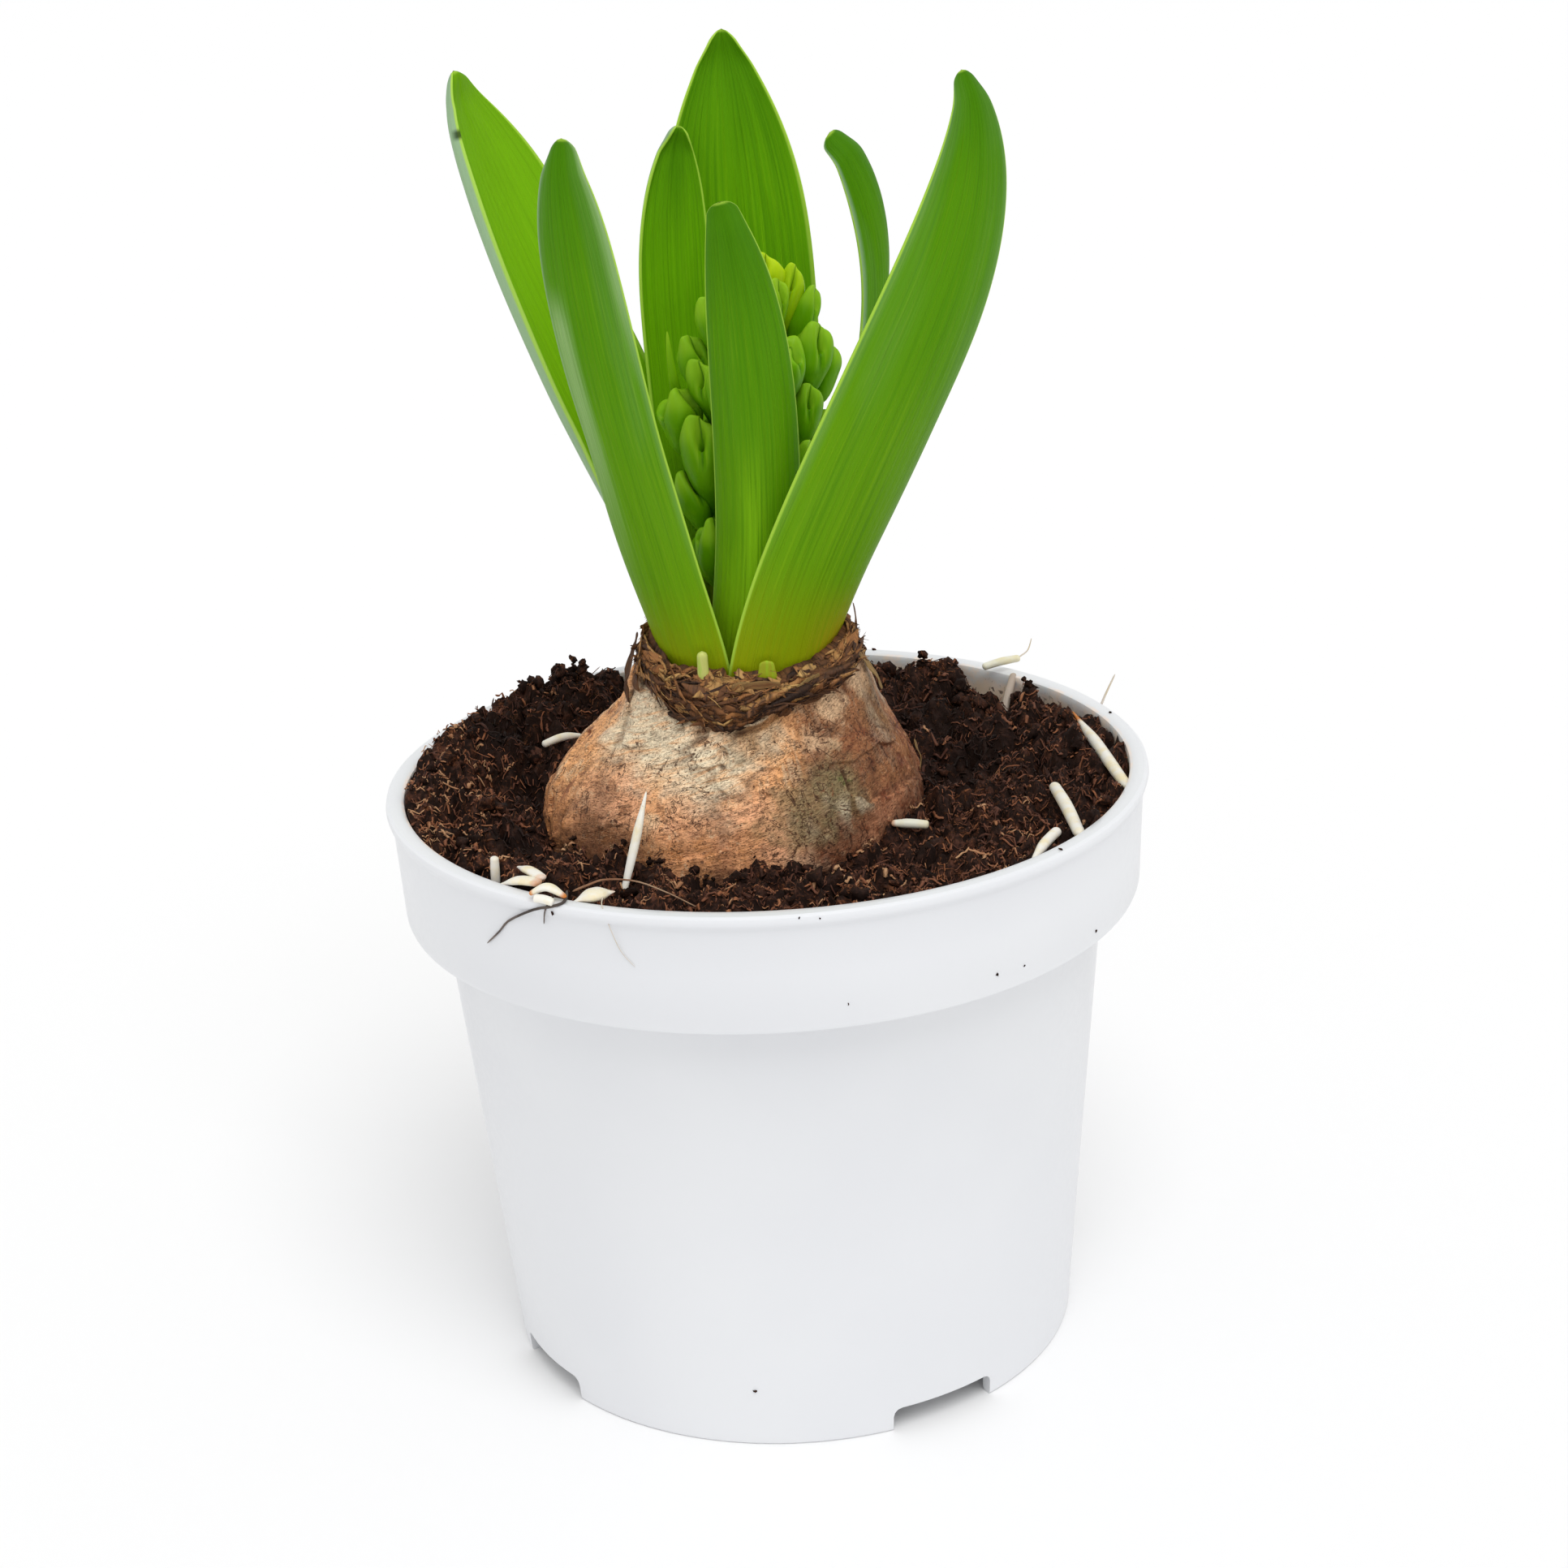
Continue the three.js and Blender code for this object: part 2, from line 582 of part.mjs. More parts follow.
/** The torn ring of dry scales: a ragged sleeve with tongues standing out of it. */
function makeScales(leafRooms, shootRooms) {
  const outline = [
    [SCALES.lining, SCALES.bottom], [19.7, SCALES.bottom], [18.6, SCALES.bottom + 2.8],
    [17.8, SCALES.bottom + 6], [17.1, SCALES.top],
    [SCALES.lining + 0.2, SCALES.top], [SCALES.lining, SCALES.bottom],
  ];
  const sleeve = shaped(turned(outline, SCALES.sides), (vertex) => {
    const angle = Math.atan2(vertex.y, vertex.x);
    const side = Math.round(angle / (2 * Math.PI) * SCALES.sides);
    const front = smoothStep(0.5 - 0.75 * Math.sin(angle));
    const high = smoothStep((vertex.z - SCALES.bottom) / (SCALES.top - SCALES.bottom));
    const torn = SCALES.raggedness * (2 * drawn(side, high < 0.5 ? 11 : 12) - 1);
    vertex.z += torn * (high > 0.9 || high < 0.1 ? 1 : 0.4) - SCALES.frontDrop * front * high;
    vertex.x += bulbShift(vertex.z);
  });
  let scales = solidOf(sleeve);
  for (let i = 0; i < SCALES.flakes; i += 1) {
    scales = scales.add(flakeSolid(i));
  }
  scales = scales.subtract(bulbRoom());
  for (const room of [...leafRooms, ...shootRooms]) {
    scales = scales.subtract(room);
  }
  return geometryOf(largestBody(scales));
}

/** A pale stub: a rounded, slightly tapered finger or flap. */
function shootSolid(shoot, extra) {
  const length = shoot.top - shoot.base + 2 * extra;
  const stub = new THREE.CapsuleGeometry(0.5, 1, 2, 8, 2).rotateX(Math.PI / 2);
  shaped(stub, (vertex) => {
    const share = (vertex.z + 1) / 2;
    const taper = 1 - 0.25 * share;
    vertex.set(
      vertex.x * (shoot.width * taper + 2 * extra) + shoot.at[0],
      vertex.y * (shoot.depth * taper + 2 * extra) + shoot.at[1] - 0.8 * share,
      shoot.base - extra + share * length,
    );
  });
  return solidOf(stub);
}

// Flower spike

/** The stalk and the tapered core that the buds stand on. */
function spikeCore() {
  const top = SPIKE_CORE[SPIKE_CORE.length - 1][0];
  const side = SPIKE_CORE.map(([z, radius]) => [radius, z]);
  const outline = [[0, STALK.foot], [STALK.radius, STALK.foot], ...side, [0, top + 1.5]];
  return solidOf(shaped(turned(outline, STALK.sides), (vertex) => {
    vertex.x += along(SPIKE_AXIS, vertex.z);
  }));
}

/** One closed bud: six sides for its six tepals, blunt at the top, narrow at the foot. */
function budSolid(i) {
  const share = (i + 0.5) / BUDS.count;
  const height = mix(BUDS.lowest, BUDS.highest, share);
  const length = mix(BUDS.length, BUDS.topLength, share ** 3) * (0.92 + 0.16 * drawn(i, 13));
  const radius = BUDS.radius * mix(1, 0.82, share ** 3) * (0.94 + 0.12 * drawn(i, 14));
  const lean = radians(mix(BUDS.lean, BUDS.topLean, share) + 6 * (drawn(i, 15) - 0.5));
  const outline = BUDS.profile.map(([r, z]) => [r * radius, z * length]);
  const bud = turned([[0, 0], ...outline, [0, 0.96 * length]], 6);
  bud.rotateZ(drawn(i, 16) * Math.PI / 3);
  const widest = 0.74 * length;
  const reach = along(SPIKE_OUTER, height + widest) - radius - widest * Math.sin(lean);
  bud.rotateY(lean);
  bud.translate(Math.max(reach, 0.2), 0, height);
  bud.rotateZ(BUDS.turn + i * GOLDEN_ANGLE);
  return solidOf(bud.translate(along(SPIKE_AXIS, height + widest), 0, 0));
}

function makeSpike() {
  let spike = spikeCore();
  for (let i = 0; i < BUDS.count; i += 1) {
    spike = spike.add(budSolid(i));
  }
  spike = spike.add(topBud());
  return geometryOf(largestBody(spike));
}

/** The youngest bud, upright on the very top. */
function topBud() {
  const length = BUDS.topLength;
  const outline = BUDS.profile.map(([r, z]) => [r * BUDS.radius * 0.9, z * length]);
  const bud = turned([[0, 0], ...outline, [0, 0.97 * length]], 6);
  bud.rotateY(radians(6));
  const [z, x] = SPIKE_AXIS[SPIKE_AXIS.length - 1];
  return solidOf(bud.translate(x, 0, z - length + BUDS.topRise));
}

// Materials

function surface(color, roughness) {
  return new THREE.MeshStandardMaterial({ color, roughness, metalness: 0 });
}

const whitePlastic = surface(0xeef0f3, 0.4);
const peat = surface(0x2a1a12, 0.95);
const papery = surface(0xc49a6c, 0.7);
const whiteRoot = surface(0xe8e2d2, 0.6);
const dryScale = surface(0x5d4029, 0.9);
const paleShoot = surface(0xb9c46a, 0.5);
const leafGreen = surface(0x3f8a1c, 0.4);
const budGreen = surface(0x5d9a1e, 0.45);

// Assembly

const plant = new THREE.Group();

function addPiece(name, geometry, material) {
  const mesh = new THREE.Mesh(geometry, material);
  mesh.name = name;
  plant.add(mesh);
}

addPiece('pot', makePot(), whitePlastic);
addPiece('soil', makeSoil(), peat);
addPiece('bulb', geometryOf(bulbSolid()), papery);
addPiece('roots', geometryOf(rootsSolid(0)), whiteRoot);
const leafRooms = LEAVES.map((leaf) => bladeSolid(leaf, GAP));
const shootRooms = SHOOTS.map((shoot) => shootSolid(shoot, GAP));
addPiece('neck_scales', makeScales(leafRooms, shootRooms), dryScale);
for (const shoot of SHOOTS) {
  addPiece(shoot.name, geometryOf(shootSolid(shoot, 0)), paleShoot);
}
for (const leaf of LEAVES) {
  addPiece(leaf.name, geometryOf(bladeSolid(leaf, 0)), leafGreen);
}
addPiece('flower_spike', makeSpike(), budGreen);
ROOT_BITS.forEach((bit, i) => {
  const number = String(i + 1).padStart(2, '0');
  addPiece(`root_bit_${number}`, geometryOf(bitSolid(bit, 0)), whiteRoot);
});

export default plant;
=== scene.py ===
"""A potted hyacinth in bud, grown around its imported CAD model.

Every law of shape works in millimetres on numpy arrays, and the meshes are in metres.
"""

import math

import bpy
import numpy as np
from mathutils import Matrix, Quaternion, Vector


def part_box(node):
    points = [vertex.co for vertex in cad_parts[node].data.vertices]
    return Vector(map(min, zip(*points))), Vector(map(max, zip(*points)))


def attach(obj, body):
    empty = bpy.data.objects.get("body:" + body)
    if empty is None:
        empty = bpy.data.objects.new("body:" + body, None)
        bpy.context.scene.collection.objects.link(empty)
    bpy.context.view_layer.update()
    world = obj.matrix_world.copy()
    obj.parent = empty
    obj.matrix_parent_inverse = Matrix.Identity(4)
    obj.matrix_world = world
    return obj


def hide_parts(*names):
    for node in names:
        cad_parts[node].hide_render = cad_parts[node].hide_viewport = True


bl_info = {
    "name": "Potted hyacinth",
    "version": (1, 0, 0),
    "blender": (4, 5, 0),
    "location": "3D View > Sidebar > Hyacinth",
    "description": "Grows leaves, buds, bulb, soil and pot around a packed potted hyacinth",
    "category": "Object",
}

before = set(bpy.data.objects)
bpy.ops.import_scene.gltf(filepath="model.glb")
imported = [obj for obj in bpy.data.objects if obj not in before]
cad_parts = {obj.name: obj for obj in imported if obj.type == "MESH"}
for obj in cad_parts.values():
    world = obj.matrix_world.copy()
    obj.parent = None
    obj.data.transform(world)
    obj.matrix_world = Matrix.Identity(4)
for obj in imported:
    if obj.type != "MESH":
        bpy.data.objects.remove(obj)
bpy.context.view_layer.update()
POT_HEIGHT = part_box("pot")[1].z

MM = 0.001
TURN = 2 * math.pi
GOLDEN_ANGLE = math.pi * (3 - math.sqrt(5))
UP = np.array([0.0, 0.0, 1.0])

# The photograph's viewpoint in metres, and its camera's turns in radians
EYE = (0, -0.4384, 0.2584)
YAW, PITCH, ROLL = 0.006, 0.363, -0.054

# The bulb's outline as radius and height, and how far its body leans left of its neck
BULB_OUTLINE = [
    (9, 61.5), (16, 63.6), (22.5, 67.8), (27.2, 73.6), (29.6, 80.5), (30, 87),
    (28.9, 93), (26.5, 98), (23.4, 102.2), (20.2, 105.6), (18.2, 108.4), (17.3, 110.4),
]
BODY_SHIFT, NECK_SHIFT = -5.2, -1.8
SHOULDER, NECK_RADIUS = 110.4, 17
BULB_FOOT_RADIUS = 29.6

# Places on the bulb's skin: clean cream skin, mould, pale patches, rosy skin, the crack,
# the curl, the lobe on the left, small olive and green spots, and the damp corner, darkened
# partly with painted shade
CREAM_SKIN = [(-19.5, -9.5, 106.5), (-14.5, -15.5, 105.2), (-9.5, -20.5, 103.6)]
MOULD = [(6, -24.8, 95.6), (9.5, -22.5, 98.8)]
PALE_PATCHES = [(7.7, -18.1, 104.9), (9.9, -13.5, 108.8), (14, -6.7, 111.3)]
ROSY_SKIN = [(-24.5, -18, 95), (-12, -28, 93.5), (-2, -29, 93)]
CRACK_TOP, CRACK_FOOT = (11.8, -19, 101.1), (13.2, -22, 93.8)
CURL = (-6.4, -21.2, 104.4)
LOBE = (-31.4, -14, 92.5)
OLIVE_SKIN = [(17.5, -7, 105.1), (-2, -19, 107.8)]
GREEN_SPOT = (10.8, -20.4, 100.1)
DAMP_SHADED_CORNER = (-26, -20, 90)

# Heaps and hollows of the soil: x, y, height and spread
SOIL_LEVEL, SOIL_EDGE = 90.5, 56.9
MOUNDS = [
    (-44, 28, 4.5, 14), (-31, 43, 6.5, 10), (-22, 46, 2.5, 6), (-50, -6, 0.8, 10),
    (-38.5, 11, -6.5, 9), (-33, -13, -2.5, 6), (-8, 52, -1, 8), (20, 44, 1.8, 10),
    (30, 13, -7, 9), (40, 36, -0.8, 12), (50, -4, 1, 12),
]

# Tufts of rusty fibre on the soil
TUFTS = [
    (30.4, -13.3), (33.4, -16), (37.4, -12.6), (50.6, 1), (-33.1, -22.2), (-30.5, -25.8),
    (-44.7, 33.4), (-37.7, 44.7), (-36.8, 36.2), (-41.7, -2.1), (-52, 8), (44, -27),
]

# Dips that bare the pot's wall and the bulb's foot, and rises at the edge, in the same form
DIPS = [
    (47, 29, -1.6, 7), (45.3, 30.5, 3, 3.5), (50, 15, 1.4, 6), (50, -14, -0.8, 9),
    (-18, -29.5, -2.6, 5.5), (-4, -34, -2.2, 8), (11, -29, -2.6, 7.5), (26, -20, -1.5, 7),
    (-55, 10, 4, 9), (-56, -5, 2, 7), (-50, 24, 3, 6), (-42, 25, -2, 6), (-25, 46, -5, 7),
]

# Hollows between the clods, darkened with painted shade
SHADED_HOLLOWS = [(28, 15), (34, 17), (30, 3), (28, 30), (-44, 24), (-39, 9), (-37, 4), (-40, -16)]

# Each leaf: its node, the ring it grows in, the directions it faces at its base, middle
# and tip, the knee, crook and tip of its spine, its widths, its widest place, how blunt
# its point is, the radius that its blade is cupped to, the width of its tip, how far its
# tip is hooded, and how far and from where its two margins roll in
LEAVES = [
    ("leaf_far_left", 11.3, (155, 136, 150), (-9.6, 9, 134), (-35.6, 14, 170),
     (-41.4, 13, 203.4), (9.4, 22.6), 0.55, 4.4, 15, 2.6, 0, (1.15, 0, 0.25)),
    ("leaf_front_left", 11.3, (-137, -120, -112), (-12.6, -13.5, 130), (-24.7, -21, 165),
     (-24, -21, 197.5), (15.8, 13.5), 0.57, 4.4, 13, 2.5, 0.5, (0.15, 0.3, 0.4)),
    ("leaf_back", 11.3, (85, 88, 92), (2.4, 18, 135), (-0.4, 23.5, 170),
     (-0.6, 22, 206.6), (15, 25), 0.6, 2.8, 19, 2.4, 0.5, (0.5, 0.3, 0.75)),
    ("leaf_inner_left", 7.6, (125, 110, 105), (-8.4, 13.5, 135), (-12.8, 16, 168),
     (-8.1, 15, 193.6), (12, 12), 0.62, 3.8, 13, 2.1, 0.7, (1.0, 0.2, 0.68)),
    ("leaf_front", 7.6, (-94, -90, -92), (0.8, -13.5, 132), (3.4, -17.5, 160),
     (-2.1, -21, 187.4), (17, 13.4), 0.42, 3.8, 11, 3.8, 0.2, (0, 0, 0)),
    ("leaf_right", 11.3, (-57, -62, -70), (-0.3, -17, 130), (41.6, -25, 175.7),
     (32.8, -20, 204), (21, 20.1), 0.4, 2.7, 17, 2.3, 0.6, (0, 0, 0)),
    ("leaf_back_right", 11.3, (20, -9, -42), (4, 6, 133), (34.6, 8, 168),
     (15.2, 8, 192.4), (9.5, 9.4), 0.6, 4.6, 6, 4.2, 0.5, (0, 0, 0)),
]

# By height: how far the spike's axis stands to the right, and its outer radius
SPIKE_AXIS = [(104.4, -1.5), (128, -1), (150, 0.4), (163, 2.6), (171, 4.4)]
SPIKE_OUTER = [
    (118, 7.2), (126, 9), (134, 10.8), (142, 12.4), (150, 13.8), (158, 13), (165, 10.6),
    (172, 7),
]
BUD_COUNT = 33

# The buds that show between the front leaves: tip, foot, radius and quarter turn in degrees
SEEN_BUDS = [
    ((4.4, -2, 176), (3.9, -0.8, 165), 2.7, 20),
    ((5.4, -4.6, 172.6), (4.2, -1.8, 160.5), 2.2, 75),
    ((8.2, -1.5, 173.9), (5.4, -0.6, 161.5), 2.1, 40),
    ((10.4, -0.6, 170.4), (6.4, -0.2, 158.5), 2.3, 90),
    ((10.9, -4, 165.6), (8.2, -1.8, 151.8), 3.1, 68),
    ((13, 1.2, 161.6), (9, 0.6, 149.5), 2.7, 30),
    ((6.4, -4.4, 160.5), (4.6, -2.2, 149), 2.2, 100),
    ((9.6, -5.2, 156.8), (7.4, -2.6, 145), 2.5, 50),
    ((8.6, -6.4, 148.8), (6, -3.2, 137), 2.4, 80),
    ((-4.7, -3.2, 170.2), (-2.6, -1.6, 157.8), 2.7, 35),
    ((-8.1, -1.6, 164.2), (-5.6, -0.8, 152.5), 2.5, 70),
    ((-6.2, -4.4, 161.3), (-3.8, -2.2, 148.5), 2.9, 10),
    ((-10.7, -3.2, 156.8), (-8.4, -1.2, 143.6), 3.5, 95),
    ((-6.9, -6.6, 152.9), (-6.6, -3.2, 136.5), 3.4, 30),
    ((-9.9, -3.6, 144.2), (-6.2, -1.6, 132), 2.8, 60),
    ((-6.6, -7, 137.6), (-5.2, -3.4, 123.5), 2.9, 85),
]

# The collar of dry scales: by direction in degrees, the height of its torn lower edge on
# the bulb's shoulder and of its upper edge against the leaves
COLLAR_LOW = [
    (-160, 113.2), (-144, 112.8), (-129, 110.6), (-115, 109.8), (-104, 109.2), (-94, 109.4),
    (-81, 110.6), (-61, 111.8), (-45, 112.6), (-20, 115), (0, 114), (90, 113), (180, 113.5),
]
COLLAR_HIGH = [
    (-170, 121.8), (-158, 120.4), (-148, 118.2), (-132, 116.9), (-105, 116), (-78, 115.7),
    (-65, 116), (-48, 117), (-26, 119.4), (-10, 121.8), (20, 120), (90, 118), (150, 120.2),
]

# Broken pieces of root: both ends, the radius and how far the middle is bowed up
ROOT_BITS = [
    ((37.7, 39.2, 96.2), (44.3, 41, 96.9), 0.85, 0.2),
    ((40, 31.5, 88.6), (43, 38.6, 95), 0.8, 0.3),
    ((51.2, 23.6, 92.9), (55.4, -13.4, 93.2), 1.15, 0.2),
    ((44.4, -9.4, 92.8), (45.8, -32.8, 93.6), 1.15, 0.5),
    ((38, -40.4, 93.2), (42.8, -29.4, 93.2), 0.95, 0.4),
    ((18.5, -19.7, 92), (24.2, -20.2, 91.6), 0.9, 0.1),
    ((-36.8, 22.5, 92.6), (-30.4, 25.4, 92.9), 0.85, 0.5),
    ((-22.2, -35.6, 89.2), (-18, -27.6, 102.4), 0.8, -0.2),
    ((-40.6, -37.2, 91.5), (-40.4, -37, 97.2), 0.85, 0),
    ((-39.6, -41, 94.4), (-33.4, -45.2, 96), 1.35, 0.5),
    ((-37.2, -36.6, 95.2), (-33, -44.6, 96.4), 1.05, 0.3),
    ((-34.7, -48.8, 95.9), (-29.4, -50.2, 95.6), 1.05, 1.3),
    ((-28.6, -49.6, 94.6), (-22.6, -47.6, 95), 2.1, 0.3),
    ((-34, -50.6, 95.9), (-31.2, -51.4, 95.4), 0.8, 0.2),
]


# Numbers and noise

def smooth(x):
    share = np.clip(x, 0, 1)
    return share * share * (3 - 2 * share)


def mix(a, b, share):
    return a + (b - a) * share


def columns(*parts):
    """Points from their coordinates, any of which may be one number for all."""
    return np.stack(np.broadcast_arrays(*parts), axis=-1)


def round_about(angle, radius=1.0, *height):
    """Points at a radius in each direction, flat ones if no height is given."""
    return columns(np.cos(angle) * radius, np.sin(angle) * radius, *height)


def rotated(x, y, angle):
    """Two coordinates turned by an angle in their plane."""
    cos, sin = math.cos(angle), math.sin(angle)
    return x * cos - y * sin, x * sin + y * cos


def hump(value, middle, width):
    """1 at the middle, falling off like a bell at a width from it."""
    return np.exp(-((value - middle) / width) ** 2)


def drawn(i, k):
    """A repeatable number from 0 to 1 for the i-th thing and its k-th property."""
    return lattice(np.array([i, k, 0]), 0)


def lattice(corner, seed):
    """A repeatable number from 0 to 1 for each whole-numbered corner of space."""
    return np.sin(corner @ (12.9898, 78.233, 37.719) + 17.31 * seed) * 43758.5453 % 1


def noise(points, cell, seed=0):
    """Smooth noise from -1 to 1 over cells of space."""
    place = points / cell
    corner = np.floor(place)
    share = smooth(place - corner)
    total = np.zeros(len(points))
    for step in np.ndindex(2, 2, 2):
        weight = np.prod(np.where(step, share, 1 - share), axis=1)
        total += weight * lattice(corner + step, seed)
    return 2 * total - 1


def layered(points, cell, layers, seed=0, keep=0.5):
    """Noise with finer and weaker noise laid over it."""
    return sum(keep ** i * noise(points, cell / 2 ** i, seed + i) for i in range(layers))


def wander(points, cell, seed):
    """A smooth push of up to 1 in every direction."""
    return columns(*(noise(points, cell, seed + k) for k in range(3)))


def pebbles(points, cell, seed):
    """How far flat points are from the middle of their own and of the next pebble, in cells."""
    place = points / cell
    corner = np.floor(place)
    nearest = np.full(len(points), 9.0)
    second = nearest.copy()
    for step in np.ndindex(3, 3):
        other = corner + (step[0] - 1, step[1] - 1, 0)
        jitter = columns(lattice(other, seed + 3), lattice(other, seed + 5), 0)
        distance = np.linalg.norm(place - other - jitter, axis=1)
        second = np.where(distance < nearest, nearest, np.minimum(second, distance))
        nearest = np.minimum(nearest, distance)
    return nearest, second


def curve_through(knots, shares):
    """Points at shares from 0 to 1 of a smooth curve through knots."""
    knots = np.asarray(knots, float)
    padded = np.vstack([2 * knots[0] - knots[1], knots, 2 * knots[-1] - knots[-2]])
    place = np.clip(shares, 0, 1) * (len(knots) - 1)
    span = np.minimum(place.astype(int), len(knots) - 2)
    t = (place - span)[:, None]
    a, b, c, d = (padded[span + i] for i in range(4))
    cubic = 3 * b - a - 3 * c + d
    return 0.5 * (2 * b + (c - a) * t + (2 * a - 5 * b + 4 * c - d) * t ** 2 + cubic * t ** 3)


def unit(vectors):
    return vectors / np.linalg.norm(vectors, axis=-1, keepdims=True)


def srgb(red, green, blue):
    """A colour picked on screen, from 0 to 255, as the linear colour that Blender takes."""
    parts = [c / 255 for c in (red, green, blue)]
    return (*(c / 12.92 if c < 0.04045 else ((c + 0.055) / 1.055) ** 2.4 for c in parts), 1.0)


# Modelling

def clear_selection():
    if bpy.context.object and bpy.context.object.mode != "OBJECT":
        bpy.ops.object.mode_set(mode="OBJECT")
    bpy.ops.object.select_all(action="DESELECT")


def take(piece):
    """Makes one piece the only selected and the active one."""
    clear_selection()
    piece.select_set(True)
    bpy.context.view_layer.objects.active = piece


def named(name):
    """The primitive that was just added, under a name of its own."""
    piece = bpy.context.object
    piece.name = name
    piece.data.name = name
    return piece


def grid(name, across, along):
    """A flat grid from -1 to 1 both ways, to be wrapped into a closed skin."""
    clear_selection()
    bpy.ops.mesh.primitive_grid_add(x_subdivisions=across, y_subdivisions=along, size=2)
    return named(name)


def wrapped(name, across, along):
    """A grid with, for each point, its direction round the skin to be and its share along."""
    piece = grid(name, across, along)
    flat = points_of(piece)
    return piece, math.pi * flat[:, 0], (flat[:, 1] + 1) / 2


def at_end(share):
    """Whether a point is on a skin's first or last row, which close to one point each."""
    return (share < 1e-6) | (share > 1 - 1e-6)


def points_of(piece):
    flat = np.empty(3 * len(piece.data.vertices), np.float32)
    piece.data.vertices.foreach_get("co", flat)
    return flat.reshape(-1, 3).astype(float)


def place_points(piece, points, scale=MM):
    """Moves every point of a mesh to its place, in millimetres unless a scale is given."""
    piece.data.vertices.foreach_set("co", (points * scale).astype(np.float32).ravel())
    piece.data.update()


def give(piece, name, values):
    """Keeps one number or one triple for every point of a mesh, for its finish to read."""
    single = np.ndim(values) == 1
    kind, field = ("FLOAT", "value") if single else ("FLOAT_VECTOR", "vector")
    kept = piece.data.attributes.new(name, kind, "POINT")
    kept.data.foreach_set(field, np.asarray(values, np.float32).ravel())


def edit_all(piece):
    """Opens one piece in edit mode with all of it selected."""
    take(piece)
    bpy.ops.object.mode_set(mode="EDIT")
    bpy.ops.mesh.select_all(action="SELECT")


def modify(piece, kind, **settings):
    """Gives a piece a modifier and applies it."""
    take(piece)
    modifier = piece.modifiers.new(kind.lower(), kind)
    for name, value in settings.items():
        setattr(modifier, name, value)
    bpy.ops.object.modifier_apply(modifier=modifier.name)


def close_up(piece, reach=0.004 * MM):
    """Merges the points that meet at seams and poles, turns every face outward and smooths."""
    edit_all(piece)
    bpy.ops.mesh.remove_doubles(threshold=reach)
    bpy.ops.mesh.normals_make_consistent(inside=False)
    bpy.ops.object.mode_set(mode="OBJECT")
    bpy.ops.object.shade_smooth()
    return piece


def turned(name, outline, steps):
    """A body of revolution: an outline of radius and height, extruded point by point and spun."""
    clear_selection()
    bpy.ops.mesh.primitive_plane_add(size=0.01)
    piece = named(name)
    edit_all(piece)
    bpy.ops.mesh.merge(type="CENTER")
    start = np.array([outline[0][0], 0, outline[0][1]]) * MM
    bpy.ops.transform.translate(value=tuple(start))
    for (r0, z0), (r1, z1) in zip(outline, outline[1:]):
        move = {"value": ((r1 - r0) * MM, 0, (z1 - z0) * MM)}
        bpy.ops.mesh.extrude_region_move(TRANSFORM_OT_translate=move)
    bpy.ops.mesh.select_all(action="SELECT")
    bpy.ops.mesh.spin(steps=steps, angle=TURN, center=(0, 0, 0), axis=(0, 0, 1))
    bpy.ops.object.mode_set(mode="OBJECT")
    return close_up(piece)


def pattern(piece):
    """The points and faces of a modelled piece that is to be copied, which goes away itself."""
    points = points_of(piece)
    faces = [tuple(face.vertices) for face in piece.data.polygons]
    bpy.data.objects.remove(piece)
    return points, faces


def gathered(name, faces, copies):
    """One piece from many placed copies of a pattern's points, in millimetres."""
    copies = np.asarray(copies)
    count, size = copies.shape[:2]
    mesh = bpy.data.meshes.new(name)
    corners = [tuple(c + i * size for c in face) for i in range(count) for face in faces]
    mesh.from_pydata((copies.reshape(-1, 3) * MM).tolist(), [], corners)
    piece = bpy.data.objects.new(name, mesh)
    bpy.context.scene.collection.objects.link(piece)
    take(piece)
    bpy.ops.object.shade_smooth()
    return piece


def strand_pattern(sides, rings):
    """A rounded rod of radius 1 from z 0 to 1, the pattern of every root, fibre and hair."""
    clear_selection()
    bpy.ops.mesh.primitive_uv_sphere_add(segments=sides, ring_count=rings, radius=1)
    piece = named("strand_pattern")
    points = points_of(piece)
    ring = np.hypot(points[:, 0], points[:, 1])
    share = (1 + points[:, 2]) / 2
    to_end = np.minimum(share, 1 - share)
    full = np.sqrt(1 - np.clip(1 - to_end / 0.07, 0, 1) ** 2) * (ring > 1e-4)
    direction = points[:, :2] / np.maximum(ring, 1e-9)[:, None]
    place_points(piece, np.column_stack([direction * full[:, None], share]), 1)
    return pattern(piece)


def strand(rod, path, radius, flatness=1.0, facing=UP):
    """A rod's points bent along a path and flattened in the direction that it faces.

    The radius is one number, or one for each of the rod's points.
    """
    share = rod[:, 2]
    centre = curve_through(path, share)
    tangent = unit(curve_through(path, share + 0.01) - curve_through(path, share - 0.01))
    side = unit(np.cross(tangent, facing + np.array([0.011, 0.017, 0])))
    over = np.cross(side, tangent)
    width = np.broadcast_to(radius, len(rod))[:, None]
    return centre + rod[:, :1] * width * side + rod[:, 1:2] * width * flatness * over


def dress(piece, material, slot, *nodes):
    """Gives a piece its finish and the body it rides on, and hides the parts that it stands for;
    its slot is not used.
    """
    piece.data.materials.clear()
    piece.data.materials.append(material)
    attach(piece, "root")
    if nodes:
        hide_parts(*nodes)
    return piece


# Finishes

class Signal:
    """A value in a finish. Python's operators carry it on through Math nodes."""

    def __init__(self, finish, socket):
        self.finish = finish
        self.socket = socket

    def __add__(self, other):
        return self.finish.math("ADD", self, other)

    def __radd__(self, other):
        return self.finish.math("ADD", other, self)

    def __sub__(self, other):
        return self.finish.math("SUBTRACT", self, other)

    def __rsub__(self, other):
        return self.finish.math("SUBTRACT", other, self)

    def __mul__(self, other):
        return self.finish.math("MULTIPLY", self, other)

    def __rmul__(self, other):
        return self.finish.math("MULTIPLY", other, self)


